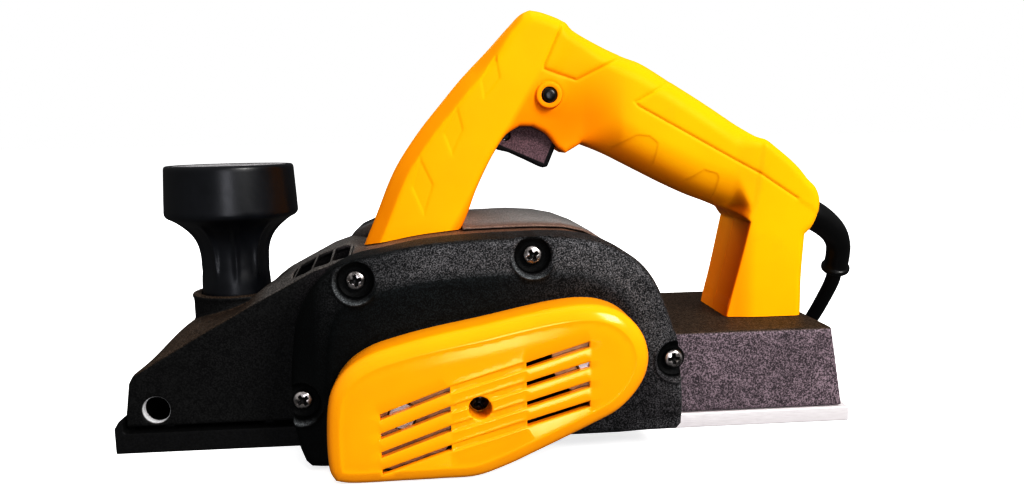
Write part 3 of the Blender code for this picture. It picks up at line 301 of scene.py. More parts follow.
def make_screw(name, c, turn, r, lo=(0.12, 0.11, 0.105), hi=(0.62, 0.58, 0.57)):
    """Blackened-chrome screw: bright dome, with painted shade in the cross recess and a painted shadow ring round the
    head.
    """
    a = Mat(name)
    dx = a.math("SUBTRACT", a.pos("X"), c[0] * MM)
    dz = a.math("SUBTRACT", a.pos("Z"), c[1] * MM)
    ct, st = math.cos(math.radians(turn)), math.sin(math.radians(turn))
    u = a.math("ABSOLUTE", a.math("ADD", a.math("MULTIPLY", dx, ct), a.math("MULTIPLY", dz, st)))
    v = a.math("ABSOLUTE", a.math("SUBTRACT", a.math("MULTIPLY", dz, ct), a.math("MULTIPLY", dx, st)))
    rr = a.math("SQRT", a.math("ADD", a.math("MULTIPLY", dx, dx), a.math("MULTIPLY", dz, dz)))
    one = a.math("MULTIPLY", a.remap(u, 0.00055, 0.00085, 1.0, 0.0), a.remap(v, 0.0020, 0.0025, 1.0, 0.0))
    two = a.math("MULTIPLY", a.remap(v, 0.00055, 0.00085, 1.0, 0.0), a.remap(u, 0.0020, 0.0025, 1.0, 0.0))
    painted_shade_recess = a.math("MAXIMUM", a.math("MAXIMUM", one, two), a.remap(rr, 0.0009, 0.0013, 1.0, 0.0))
    rim = a.remap(rr, (r - 0.42) * MM, (r - 0.12) * MM, 0.0, 0.85)
    smear = a.noise(420.0, 4.0, 0.65)
    fine = a.noise(1900.0, 2.0, 0.5)
    col = a.mix(a.remap(smear, 0.36, 0.62, 0.0, 1.0), lo, hi)
    # painted shade: the cross recess and the ring round the head's edge are coloured near black
    col = a.mix(a.math("MAXIMUM", painted_shade_recess, rim), col, (0.006, 0.0055, 0.0055))
    a.set(color=col, rough=a.remap(smear, 0.3, 0.7, 0.20, 0.38), metal=a.remap(painted_shade_recess, 0.0, 1.0, 1.0, 0.3), spec=0.1)
    a.bump((smear, 0.2, 0.00004), (fine, 0.15, 0.00001))
    return a.m


def hole_zone(a):
    """The bored hole of the fence bolt: bare metal round its axis."""
    dx = a.math("SUBTRACT", a.pos("X"), -0.1289)
    dz = a.math("SUBTRACT", a.pos("Z"), 0.0166)
    r = a.math("SQRT", a.math("ADD", a.math("MULTIPLY", dx, dx), a.math("MULTIPLY", dz, dz)))
    return a.remap(r, 0.0050, 0.0054, 1.0, 0.0)


# painted light: a colour grade along X, lighter towards the rear where the key light falls
def painted_light_along_x(lo, hi):
    return lambda a: a.remap(a.pos("X"), lo, hi, 0.0, 1.0)


# painted light: faces that look up are given a lighter colour pair
def painted_light_top_zone(a):
    return a.remap(a.normal("Z"), 0.35, 0.75, 0.0, 1.0)


POCKET_AXES = ((-0.04890, 0.06800), (0.01420, 0.07520), (-0.06940, 0.02510), (0.06600, 0.03500))


def painted_shade_pocket_zone(a):
    """Painted shade inside the screw pockets of the side cover."""
    f = None
    for x0, z0 in POCKET_AXES:
        dx, dz = a.math("SUBTRACT", a.pos("X"), x0), a.math("SUBTRACT", a.pos("Z"), z0)
        r = a.math("SQRT", a.math("ADD", a.math("MULTIPLY", dx, dx), a.math("MULTIPLY", dz, dz)))
        g = a.remap(r, 0.0064, 0.0070, 1.0, 0.0)
        f = g if f is None else a.math("MAXIMUM", f, g)
    return f


def painted_highlight_lip_zone(a):
    """Painted highlight on the rolled lip of the pockets, on the side that faces down and forwards."""
    f = None
    for x0, z0 in POCKET_AXES[:3]:
        dx, dz = a.math("SUBTRACT", a.pos("X"), x0), a.math("SUBTRACT", a.pos("Z"), z0)
        r = a.math("SQRT", a.math("ADD", a.math("MULTIPLY", dx, dx), a.math("MULTIPLY", dz, dz)))
        ring = a.math("MULTIPLY", a.remap(r, 0.0066, 0.0073, 0.0, 1.0), a.remap(r, 0.0077, 0.0087, 1.0, 0.0))
        side = a.math("ADD", a.math("MULTIPLY", dx, -0.55), a.math("MULTIPLY", dz, -0.83))
        g = a.math("MULTIPLY", ring, a.remap(side, 0.0015, 0.0060, 0.0, 0.9))
        f = g if f is None else a.math("MAXIMUM", f, g)
    return f


def painted_reflection_deck_zone(a):
    """The deck line of the hump, with a painted reflection that takes up the handle's colour."""
    f = a.math("MULTIPLY", painted_light_top_zone(a), a.remap(a.pos("Z"), 0.066, 0.071, 0.0, 1.0))
    f = a.math("MULTIPLY", f, a.remap(a.pos("Y"), -0.016, 0.004, 1.0, 0.0))
    return a.math("MULTIPLY", f, a.remap(a.pos("X"), -0.055, -0.044, 0.0, 1.0))


def inlet_zone(a):
    """The slope round the air inlets."""
    f = a.math("MULTIPLY", painted_light_top_zone(a), a.remap(a.pos("X"), -0.094, -0.085, 0.0, 1.0))
    return a.math("MULTIPLY", f, a.remap(a.pos("X"), -0.055, -0.044, 1.0, 0.0))


def painted_sheen_band_zone(a):
    """Painted reflection on the cover's sloping band, which stands back from its face, strongest towards the rear."""
    f = a.math("MULTIPLY", a.remap(a.pos("Y"), -0.0667, -0.0656, 0.0, 1.0), a.remap(a.pos("X"), -0.064, -0.022, 0.0, 1.0))
    return a.math("MULTIPLY", f, a.remap(a.pos("Y"), -0.0632, -0.0622, 1.0, 0.25))


def fairing_zone(a):
    """The sloping top beside the handle foot."""
    return a.math("MULTIPLY", a.remap(a.pos("Y"), -0.008, 0.040, 1.0, 0.0), a.remap(a.pos("Z"), 0.069, 0.077, 0.0, 1.0))


def fairing_foot(a):
    return a.math("MULTIPLY", a.remap(a.pos("Y"), -0.0215, -0.0130, 1.0, 0.0), a.remap(a.pos("Z"), 0.069, 0.077, 0.0, 1.0))


def painted_shade_switch_zone(a):
    """Painted shade right of the ridge that runs down to the trigger arch, fading towards the grip and the top, and
    painted shade along the grip's underside.
    """
    s = a.math("SUBTRACT", a.math("MULTIPLY", a.math("SUBTRACT", a.pos("X"), 0.0040), 0.862),
               a.math("MULTIPLY", a.math("SUBTRACT", a.pos("Z"), 0.1120), 0.507))
    f = a.math("MULTIPLY", a.remap(s, -0.0008, 0.0016, 0.0, 1.0), a.remap(a.pos("X"), 0.042, 0.064, 1.0, 0.0))
    f = a.math("MULTIPLY", f, a.remap(a.pos("Z"), 0.126, 0.150, 0.78, 0.12))
    low = a.math("SUBTRACT", a.pos("Z"), a.math("SUBTRACT", 0.1560, a.math("MULTIPLY", a.pos("X"), 0.62)))
    grip = a.math("MULTIPLY", a.remap(a.pos("X"), 0.040, 0.056, 0.0, 1.0), a.remap(a.pos("X"), 0.106, 0.114, 1.0, 0.0))
    f = a.math("MAXIMUM", f, a.math("MULTIPLY", grip, a.remap(low, -0.013, -0.002, 0.60, 0.0)))
    return f


def trigger_zone(a):
    """The trigger's flat sides, inside a black rim along the lower and rear edges."""
    x, z = a.pos("X"), a.pos("Z")
    low = a.math("ADD", a.math("MULTIPLY", a.math("SUBTRACT", x, 0.0246), 0.404), a.math("MULTIPLY", a.math("SUBTRACT", z, 0.1043), 0.914))
    rear = a.math("ADD", a.math("MULTIPLY", a.math("SUBTRACT", x, 0.0266), -0.919), a.math("MULTIPLY", a.math("SUBTRACT", z, 0.1048), 0.394))
    return a.math("MULTIPLY", ends_zone(a), a.remap(a.math("MINIMUM", low, rear), 0.0017, 0.0021, 0.0, 1.0))


def ends_zone(a):
    """Faces that look sideways, along Y."""
    return a.remap(a.math("ABSOLUTE", a.normal("Y")), 0.86, 0.97, 0.0, 1.0)


def sole_zone(a):
    return a.remap(a.normal("Z"), -0.9, -0.7, 1.0, 0.0)


M = {
    "handle": make_yellow("handle_yellow", (0.930, 0.410, 0.0008), (0.910, 0.370, 0.0006), 0.36, 0.52, 0.20, 0.13, (1.0, 0.72, 0.25), painted_shade_switch_zone),
    "belt": make_yellow("belt_cover_yellow", (0.930, 0.365, 0.0008), (0.910, 0.330, 0.0006), 0.12, 0.22, 0.03, 0.40, (1.0, 0.86, 0.55)),
    # painted light and shade on the cover: lighter towards the rear, a painted reflection on the sloping band, painted
    # shade inside the pockets and a painted highlight on their lips
    "cover": make_texture("cover_black", (0.0003, 0.0005, 0.0005), (0.0022, 0.0032, 0.0034), 0.42, 0.64, 0.60, 2100.0, 0.20, 0.09, cut=(0.455, 0.63),
                          zones=[(painted_light_along_x(-0.066, -0.030), (0.0008, 0.0012, 0.0013), (0.0125, 0.0170, 0.0185)),
                                 (painted_light_along_x(0.0, 0.075), (0.003, 0.003, 0.0034), (0.104, 0.097, 0.103)),
                                 (painted_sheen_band_zone, (0.0070, 0.0074, 0.0082), (0.158, 0.154, 0.160)),
                                 (painted_shade_pocket_zone, (0.0003, 0.0004, 0.0004), (0.0045, 0.0050, 0.0052)),
                                 (painted_highlight_lip_zone, (0.035, 0.038, 0.040), (0.190, 0.200, 0.205))]),
    # painted light on the casting: lighter towards the rear, lighter and browner on faces that look up, and a painted
    # reflection of the handle's colour on the deck line
    "cast": make_texture("cast_coat", (0.0016, 0.0016, 0.0017), (0.0140, 0.0140, 0.0140), 0.42, 0.66, 0.60, 1750.0, 0.30, 0.12, cut=(0.43, 0.62),
                         zones=[(painted_light_along_x(-0.075, 0.07), (0.042, 0.033, 0.038), (0.285, 0.222, 0.250)),
                                (painted_light_top_zone, (0.018, 0.0118, 0.0078), (0.086, 0.058, 0.040)),
                                (inlet_zone, (0.038, 0.035, 0.033), (0.150, 0.140, 0.132)),
                                (painted_reflection_deck_zone, (0.080, 0.046, 0.031), (0.250, 0.146, 0.098)),
                                (hole_zone, (0.55, 0.55, 0.56), (0.75, 0.75, 0.76))]),
    "fairing": make_texture("fairing_grey", (0.0035, 0.0035, 0.004), (0.012, 0.012, 0.013), 0.40, 0.56, 0.25, 1900.0, 0.25, spec=0.2,
                            zones=[(fairing_zone, (0.182, 0.178, 0.176), (0.345, 0.336, 0.332)),
                                   (fairing_foot, (0.130, 0.088, 0.070), (0.250, 0.175, 0.145))]),
    "motor": make_texture("motor_black", (0.0035, 0.0035, 0.004), (0.016, 0.016, 0.017), 0.42, 0.62, 0.40, 1600.0, 0.25),
    "shoe": make_texture("shoe_black", (0.0018, 0.0018, 0.002), (0.0075, 0.0075, 0.008), 0.45, 0.68, 0.35, 1700.0, 0.3),
    "knob": make_smooth("knob_black", (0.0026, 0.0031, 0.0046), (0.0064, 0.0076, 0.0110), 0.26, 0.42, 0.22, 1400.0, 0.15, 0.34,
                        (0.010, 0.010, 0.013)),
    "button": make_smooth("button_black", (0.0022, 0.0022, 0.0026), (0.004, 0.004, 0.005), 0.20, 0.32, 0.05, 1400.0, 0.3, 0.3, (0.01, 0.01, 0.01)),
    "disc": make_smooth("knob_disc", (0.19, 0.185, 0.19), (0.30, 0.295, 0.30), 0.34, 0.50, 0.06, 900.0, 0.1, 0.4, (0.14, 0.13, 0.125)),
    "trigger": make_texture("trigger_brown", (0.0020, 0.0018, 0.0019), (0.0060, 0.0050, 0.0055), 0.40, 0.58, 0.30, 1500.0, 0.15, 0.12,
                            zones=[(trigger_zone, (0.070, 0.042, 0.049), (0.200, 0.125, 0.143))]),
    "rubber": make_smooth("rubber_black", (0.0022, 0.0022, 0.0024), (0.0050, 0.0050, 0.0054), 0.26, 0.40, 0.10, 1100.0, 0.05, 0.22, (0.008, 0.008, 0.008)),
    "cable": make_smooth("cable_black", (0.0024, 0.0024, 0.0026), (0.0058, 0.0058, 0.0062), 0.40, 0.55, 0.14, 900.0, 0.1, 0.14, (0.010, 0.010, 0.010)),
    "plastic": make_smooth("inner_plastic", (0.005, 0.005, 0.0055), (0.011, 0.011, 0.012), 0.40, 0.55, 0.15, 1200.0),
    "pin": make_smooth("blackened_pin", (0.003, 0.003, 0.003), (0.008, 0.0075, 0.007), 0.35, 0.50, 0.15, 1500.0, 0.2, 0.15, (0.01, 0.01, 0.01)),
    "sole": make_metal("sole_aluminium", (0.62, 0.575, 0.585), (0.78, 0.732, 0.742), 0.34, 0.50, (1.0, 12.0, 12.0), 220.0, 0.22, metal=0.35),
    "steel": make_metal("turned_steel", (0.34, 0.34, 0.36), (0.58, 0.58, 0.60), 0.22, 0.40, (1.0, 10.0, 1.0), 300.0, 0.3),
    # painted shade and painted reflection: the pulleys inside the belt cover are coloured dark orange-brown
    "pulley": make_metal("pulley_steel_painted_shade", (0.040, 0.018, 0.008), (0.34, 0.22, 0.13), 0.30, 0.50, (1.0, 10.0, 1.0), 300.0, 0.6),
    "edge": make_metal("ground_steel", (0.62, 0.63, 0.65), (0.82, 0.83, 0.85), 0.14, 0.28, (10.0, 1.0, 10.0), 300.0, 0.15),
    "core": make_metal("core_steel", (0.20, 0.20, 0.21), (0.36, 0.36, 0.38), 0.35, 0.55, (1.0, 30.0, 1.0), 300.0, 0.35),
    "copper": make_metal("copper_bars", (0.62, 0.27, 0.14), (0.82, 0.42, 0.24), 0.24, 0.42, (8.0, 1.0, 8.0), 260.0, 0.3),
    "brass": make_metal("pin_brass", (0.66, 0.48, 0.20), (0.84, 0.66, 0.34), 0.20, 0.34, (1.0, 8.0, 8.0), 300.0, 0.2),
    "carbon": make_smooth("brush_carbon", (0.014, 0.014, 0.015), (0.04, 0.04, 0.042), 0.45, 0.6, 0.3, 900.0),
    "beltrubber": make_smooth("belt_rubber", (0.005, 0.0045, 0.0045), (0.014, 0.013, 0.012), 0.55, 0.75, 0.3, 700.0),
}

# machined face under the black shoe
a = Mat("shoe_coat")
h = a.grains(1700.0)
f = sole_zone(a)
lines = a.noise(220.0, 4.0, 0.6, stretch=(1.0, 12.0, 12.0))
a.set(color=a.mix(f, a.mix(a.remap(h, 0.41, 0.62, 0.0, 1.0), (0.0018, 0.0018, 0.002), (0.0075, 0.0075, 0.008)),
                  a.mix(a.remap(lines, 0.3, 0.7, 0.0, 1.0), (0.64, 0.63, 0.64), (0.82, 0.81, 0.82))),
      rough=a.mix(f, (0.58, 0.58, 0.58), a.mix(a.remap(lines, 0.3, 0.7, 0.0, 1.0), (0.34, 0.34, 0.34), (0.5, 0.5, 0.5))), metal=f, spec=0.15)
a.bump((lines, 0.15, 0.00004), (h, 0.3, 0.00016))
M["shoe"] = a.m

# ------------------------------------------------------------------ mesh helpers
def new_object(name, me, mat, body, angle=35.0, replaces=()):
    ob = bpy.data.objects.new(name, me)
    scene.collection.objects.link(ob)
    me.materials.clear()
    me.materials.append(mat)
    me.shade_smooth()
    me.set_sharp_from_angle(angle=math.radians(angle))
    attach(ob, body)
    if replaces:
        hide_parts(*replaces)
    return ob


def temp_object(me, name="tmp"):
    ob = bpy.data.objects.new(name, me)
    scene.collection.objects.link(ob)
    return ob


def evaluated_mesh(ob):
    bpy.context.view_layer.update()
    dg = bpy.context.evaluated_depsgraph_get()
    return bpy.data.meshes.new_from_object(ob.evaluated_get(dg))


def apply_all(ob):
    me = evaluated_mesh(ob)
    ob.modifiers.clear()
    old = ob.data
    ob.data = me
    if old.users == 0:
        bpy.data.meshes.remove(old)
    return ob


def closed_volume(me):
    bm = bmesh.new()
    bm.from_mesh(me)
    ok = len(bm.faces) > 3 and all(e.is_manifold for e in bm.edges)
    v = bm.calc_volume(signed=True) / MM ** 3 if ok else None
    bm.free()
    return v


def combine(ob, other, op="DIFFERENCE"):
    start = ob.data.copy()
    v0, vt = closed_volume(start), closed_volume(other.data)
    v0 = v0 if v0 is not None else 1e12
    vt = vt if vt is not None else 1e12
    low, high = (v0 - vt, v0) if op == "DIFFERENCE" else (max(v0, vt), v0 + vt)
    for solver in ("MANIFOLD", "EXACT"):
        md = ob.modifiers.new("Boolean", "BOOLEAN")
        md.operation = op
        md.solver = solver
        md.object = other
        apply_all(ob)
        v = closed_volume(ob.data)
        if v is not None and low - 2.0 < v < high + 2.0:
            break
        ob.data = start.copy()
    else:
        print("combine kept the piece unchanged:", ob.name, op)
    me = other.data
    bpy.data.objects.remove(other, do_unlink=True)
    if me.users == 0:
        bpy.data.meshes.remove(me)
    return ob


def cut(ob, *tools):
    for t in tools:
        combine(ob, t, "DIFFERENCE")
    return ob


def join(ob, *tools):
    for t in tools:
        combine(ob, t, "UNION")
    return ob


def from_bmesh(bm, name="tmp"):
    bmesh.ops.recalc_face_normals(bm, faces=bm.faces)
    me = bpy.data.meshes.new(name)
    bm.to_mesh(me)
    bm.free()
    return temp_object(me, name)


AX = {"Y": lambda a, b, t: (a, t, b), "Z": lambda a, b, t: (a, b, t), "X": lambda a, b, t: (t, a, b)}


def prism(outline, lo, hi, axis="Y", holes=()):
    """A flat outline (pairs in mm) between lo and hi along an axis, as a closed solid."""
    bm = bmesh.new()
    loops = [outline, *holes]
    flat = geometry.tessellate_polygon([[Vector((a, b, 0)) for a, b in lp] for lp in loops])
    pts = [p for lp in loops for p in lp]
    f = AX[axis]
    va = [bm.verts.new(Vector(f(a, b, lo)) * MM) for a, b in pts]
    vb = [bm.verts.new(Vector(f(a, b, hi)) * MM) for a, b in pts]
    for t in flat:
        bm.faces.new([va[i] for i in t])
        bm.faces.new([vb[i] for i in reversed(t)])
    k = 0
    for lp in loops:
        n = len(lp)
        for i in range(n):
            j = (i + 1) % n
            bm.faces.new((va[k + i], va[k + j], vb[k + j], vb[k + i]))
        k += n
    bmesh.ops.dissolve_limit(bm, angle_limit=math.radians(0.05), verts=bm.verts, edges=bm.edges)
    return from_bmesh(bm, "prism")


def lathe_mesh(profile, axis, centre, seg=96, radius_fn=None):
    """Turned solid from (radius, height) pairs in mm; a profile off the axis at both ends is a ring."""
    bm = bmesh.new()
    ring = profile[0][0] > 1e-6 or profile[-1][0] > 1e-6
    f = AX[axis]
    rows = []
    for r, h in profile:
        if r <= 1e-6:
            rows.append([bm.verts.new(Vector(f(centre[0], centre[1], h)) * MM)])
            continue
        row = []
        for k in range(seg):
            t = 2 * math.pi * k / seg
            rr = radius_fn(r, h, t) if radius_fn else r
            row.append(bm.verts.new(Vector(f(centre[0] + rr * math.cos(t), centre[1] + rr * math.sin(t), h)) * MM))
        rows.append(row)
    pairs = list(zip(rows, rows[1:]))
    if ring:
        pairs.append((rows[-1], rows[0]))
    for a, b in pairs:
        for k in range(seg):
            j = (k + 1) % seg
            q = [a[k % len(a)], a[j % len(a)], b[j % len(b)], b[k % len(b)]]
            q = list(dict.fromkeys(q))
            if len(q) >= 3:
                bm.faces.new(q)
    return from_bmesh(bm, "lathe")


def cyl(axis, centre, lo, hi, r, seg=64, r2=None):
    return lathe_mesh([(0, lo), (r, lo), (r if r2 is None else r2, hi), (0, hi)], axis, centre, seg)


def boxy(x0, x1, y0, y1, z0, z1):
    return prism([(x0, z0), (x1, z0), (x1, z1), (x0, z1)], y0, y1)


def bevel(ob, width, segments=3, test=None, angle=30.0, profile=0.5):
    bm = bmesh.new()
    bm.from_mesh(ob.data)
    picked = []
    for e in bm.edges:
        if len(e.link_faces) != 2 or e.calc_face_angle(0.0) < math.radians(angle):
            continue
        a, b = (v.co / MM for v in e.verts)
        if test is None or test(a, b):
            picked.append(e)
    bmesh.ops.bevel(bm, geom=picked, offset=width * MM, segments=segments, profile=profile, affect="EDGES",
                    clamp_overlap=True)
    bmesh.ops.recalc_face_normals(bm, faces=bm.faces)
    bm.to_mesh(ob.data)
    bm.free()
    return ob


def arc(cx, cz, r, a0, a1, n):
    return [(cx + r * math.cos(math.radians(a0 + (a1 - a0) * i / n)),
             cz + r * math.sin(math.radians(a0 + (a1 - a0) * i / n))) for i in range(n + 1)]


def smooth_loop(points, spacing=1.2, corner=32.0, closed=True):
    """A closed outline through the points, rounded where it turns gently and sharp where it turns more than corner."""
    pts = [np.array(p, float) for p in points]
    n = len(pts)
    turn = []
    for i in range(n):
        a, b = pts[i] - pts[i - 1], pts[(i + 1) % n] - pts[i]
        ang = abs(math.degrees(math.atan2(a[0] * b[1] - a[1] * b[0], float(a @ b))))
        turn.append(ang)
    out = []
    for i in range(n if closed else n - 1):
        p1, p2 = pts[i], pts[(i + 1) % n]
        s1, s2 = turn[i] > corner, turn[(i + 1) % n] > corner
        length = float(np.linalg.norm(p2 - p1))
        p0 = pts[i - 1] if not s1 else 2 * p1 - p2
        p3 = pts[(i + 2) % n] if not s2 else 2 * p2 - p1
        # centripetal form keeps the curve close to long straight runs
        def knot(a, b):
            return max(float(np.linalg.norm(b - a)) ** 0.5, 1e-4)
        t0 = 0.0
        t1 = t0 + knot(p0, p1)
        t2 = t1 + knot(p1, p2)
        t3 = t2 + knot(p2, p3)
        steps = max(1, int(round(length / spacing)))
        for k in range(steps):
            t = t1 + (t2 - t1) * k / steps
            a1 = (t1 - t) / (t1 - t0) * p0 + (t - t0) / (t1 - t0) * p1
            a2 = (t2 - t) / (t2 - t1) * p1 + (t - t1) / (t2 - t1) * p2
            a3 = (t3 - t) / (t3 - t2) * p2 + (t - t2) / (t3 - t2) * p3
            b1 = (t2 - t) / (t2 - t0) * a1 + (t - t0) / (t2 - t0) * a2
            b2 = (t3 - t) / (t3 - t1) * a2 + (t - t1) / (t3 - t1) * a3
            c = (t2 - t) / (t2 - t1) * b1 + (t - t1) / (t2 - t1) * b2
            out.append((float(c[0]), float(c[1])))
    if not closed:
        out.append((float(pts[-1][0]), float(pts[-1][1])))
    return out


def seg_dist(P, line, closed=True):
    """Distance from each of P to a polyline, with numpy."""
    L = np.asarray(line, float)
    A = L if closed else L[:-1]
    B = np.roll(L, -1, axis=0) if closed else L[1:]
    best = np.full(len(P), 1e9)
    d = B - A
    dd = np.maximum((d * d).sum(1), 1e-12)
    for s in range(0, len(P), 4000):
        q = P[s:s + 4000]
        w = q[:, None, :] - A[None]
        t = np.clip((w * d[None]).sum(2) / dd[None], 0, 1)
        v = w - t[..., None] * d[None]
        best[s:s + 4000] = np.sqrt((v * v).sum(2)).min(1)
    return best


def inside(P, loop):
    L = np.asarray(loop, float)
    x, y = P[:, 0][:, None], P[:, 1][:, None]
    x0, y0 = L[:, 0][None], L[:, 1][None]
    x1, y1 = np.roll(L[:, 0], -1)[None], np.roll(L[:, 1], -1)[None]
    out = np.zeros(len(P), bool)
    for s in range(0, len(P), 6000):
        xs, ys = x[s:s + 6000], y[s:s + 6000]
        c = ((y0 > ys) != (y1 > ys)) & (xs < (x1 - x0) * (ys - y0) / np.where(y1 == y0, 1e-12, y1 - y0) + x0)
        out[s:s + 6000] = c.sum(1) % 2 == 1
    return out


def smooth01(x, a, b):
    t = np.clip((x - a) / (b - a), 0, 1)
    return t * t * (3 - 2 * t)


def fillet(d, r):
    """Drop of a rounded edge of radius r at distance d from the edge: r at d=0, 0 beyond r."""
    q = np.clip(r - d, 0, None)
    return r - np.sqrt(np.maximum(r * r - q * q, 0))


def offset_points(loop, d):
    L = np.asarray(loop, float)
    e = np.roll(L, -1, axis=0) - L
    n = np.stack([-e[:, 1], e[:, 0]], 1)
    n /= np.maximum(np.linalg.norm(n, axis=1, keepdims=True), 1e-9)
    area = 0.5 * float((L[:, 0] * np.roll(L[:, 1], -1) - np.roll(L[:, 0], -1) * L[:, 1]).sum())
    if area < 0:
        n = -n
    v = n + np.roll(n, 1, axis=0)
    v /= np.maximum(np.linalg.norm(v, axis=1, keepdims=True), 1e-9)
    return L + v * d


def relief(outline, height, back, step=1.0, rings=(), holes=(), extra=(), axis="Y"):
    """A solid with a flat back at `back` and a front surface at height(P), over a flat outline.

    height takes an (n, 2) array in mm and gives the third coordinate. extra are polylines or circles of
    points that follow details. The result is one closed mesh.
    """
    loops = [list(map(tuple, outline))] + [list(map(tuple, h)) for h in holes]
    allb = np.array([p for lp in loops for p in lp], float)
    cand = []
    for lp in loops:
        for r in rings:
            cand.append((offset_points(lp, r if lp is loops[0] else -r), r))
    keep = []
    bounds_pts = allb

    def border(P):
        d = np.full(len(P), 1e9)
        for lp in loops:
            d = np.minimum(d, seg_dist(P, lp))
        return d

    def in_shape(P):
        ok = inside(P, loops[0])
        for h in loops[1:]:
            ok &= ~inside(P, h)
        return ok

    for P, r in cand:
        ok = in_shape(P) & (border(P) > 0.86 * r)
        keep.append(P[ok])
    last = max(rings) if rings else 0.0
    ex = []
    for P in extra:
        P = np.asarray(P, float)
        if not len(P):
            continue
        ok = in_shape(P) & (border(P) > 0.12)
        ex.append(P[ok])
    exa = np.concatenate(ex) if ex else np.zeros((0, 2))
    x0, z0 = bounds_pts.min(0)
    x1, z1 = bounds_pts.max(0)
    gx, gz = [], []
    row = 0
    z = z0 + step * 0.5
    while z < z1:
        xs = np.arange(x0 + (0.5 if row % 2 else 0.0) * step, x1, step)
        gx.append(xs)
        gz.append(np.full(len(xs), z))
        z += step * 0.866
        row += 1
    G = np.stack([np.concatenate(gx), np.concatenate(gz)], 1)
    G = G[in_shape(G)]
    G = G[border(G) > last + 0.45 * step]
    # thin out points that crowd each other, detail points first
    pool = [allb, exa, *keep, G]
    order = np.concatenate([np.full(len(p), i) for i, p in enumerate(pool)])
    pts = np.concatenate(pool)
    cell = {}
    chosen = []
    nb = len(allb)
    for i, (p, o) in enumerate(zip(pts, order)):
        o = int(o)
        gap = 0.0 if o == 0 else (0.22 if o == 1 else (0.10 if o < len(pool) - 1 else 0.6 * step))
        key = (int(math.floor(p[0] / 1.0)), int(math.floor(p[1] / 1.0)))
        if gap:
            reach = 1 if gap <= 1.0 else 2
            close = False
            for a in range(key[0] - reach, key[0] + reach + 1):
                for b in range(key[1] - reach, key[1] + reach + 1):
                    for q in cell.get((a, b), ()):
                        if (q[0] - p[0]) ** 2 + (q[1] - p[1]) ** 2 < gap * gap:
                            close = True
                            break
                    if close:
                        break
                if close:
                    break
            if close:
                continue
        cell.setdefault(key, []).append((p[0], p[1]))
        chosen.append(i)
    pts = pts[chosen]
    edges = []
    k = 0
    for lp in loops:
        n = len(lp)
        edges += [(k + i, k + (i + 1) % n) for i in range(n)]
        k += n
    V, E, F, *_ = geometry.delaunay_2d_cdt([Vector((float(a), float(b))) for a, b in pts], edges, [], 0, 1e-6)
    V = np.array([tuple(v) for v in V], float)
    F = [f for f in F if len(f) == 3]
    C = V[np.array(F)].mean(1)
    ok = in_shape(C)
    F = [f for f, o in zip(F, ok) if o]
    H = np.asarray(height(V), float)
    f = AX[axis]
    bm = bmesh.new()
    used = sorted({i for t in F for i in t})
    front = {i: bm.verts.new(Vector(f(V[i][0], V[i][1], H[i])) * MM) for i in used}
    for t in F:
        bm.faces.new([front[i] for i in t])
    bm.edges.ensure_lookup_table()
    rim = [e for e in bm.edges if len(e.link_faces) == 1]
    low = {}
    inv = {v: i for i, v in front.items()}
    for e in rim:
        for v in e.verts:
            if v not in low:
                i = inv[v]
                low[v] = bm.verts.new(Vector(f(V[i][0], V[i][1], back)) * MM)
    back_edges = []
    for e in rim:
        a, b = e.verts
        bm.faces.new((a, b, low[b], low[a]))
        be = bm.edges.get((low[a], low[b]))
        back_edges.append(be)
    ids = {v: k for k, v in enumerate(low.values())}
    lowv = list(low.values())
    idx = {"Y": (0, 2), "Z": (0, 1), "X": (1, 2)}[axis]
    co2 = [Vector((v.co[idx[0]] / MM, v.co[idx[1]] / MM)) for v in lowv]
    ce = [(ids[e.verts[0]], ids[e.verts[1]]) for e in back_edges]
    V2, _, F2, o2, *_ = geometry.delaunay_2d_cdt(co2, ce, [], 0, 1e-7)
    C2 = np.array([[sum(V2[i][c] for i in t) / 3 for c in (0, 1)] for t in F2], float)
    ok2 = in_shape(C2)
    for t, o in zip(F2, ok2):
        if not o:
            continue
        vs = [lowv[o2[i][0]] for i in t if len(o2[i])]
        if len(set(vs)) == 3:
            try:
                bm.faces.new(vs)
            except ValueError:
                pass
    return from_bmesh(bm, "relief")


def ring_points(c, radii, n=48):
    return np.array([(c[0] + r * math.cos(2 * math.pi * (k + 0.5 * (j % 2)) / n), c[1] + r * math.sin(2 * math.pi * (k + 0.5 * (j % 2)) / n))
                     for j, r in enumerate(radii) for k in range(n)])


def line_points(line, offsets, spacing=0.8, closed=False):
    L = [np.array(p, float) for p in line]
    if closed:
        L.append(L[0])
    out = []
    for a, b in zip(L, L[1:]):
        d = b - a
        n = max(2, int(np.linalg.norm(d) / spacing) + 1)
        u = d / max(np.linalg.norm(d), 1e-9)
        nn = np.array([-u[1], u[0]])
        for k in range(n):
            p = a + d * k / n
            for o in offsets:
                out.append(p + nn * o)
    return np.array(out)


def mirror_y(ob):
    """A copy of the object's mesh mirrored to the other side."""
    me = ob.data.copy()
    bm = bmesh.new()
    bm.from_mesh(me)
    for v in bm.verts:
        v.co.y = -v.co.y
    bmesh.ops.reverse_faces(bm, faces=bm.faces)
    bm.to_mesh(me)
    bm.free()
    return temp_object(me)


def named(ob, name, mat, body, angle=35.0, replaces=()):
    """Turn a working object into a finished piece."""
    me = ob.data
    ob.data = bpy.data.meshes.new("gone")
    bpy.data.objects.remove(ob, do_unlink=True)
    me.name = name
    return new_object(name, me, mat, body, angle, replaces)


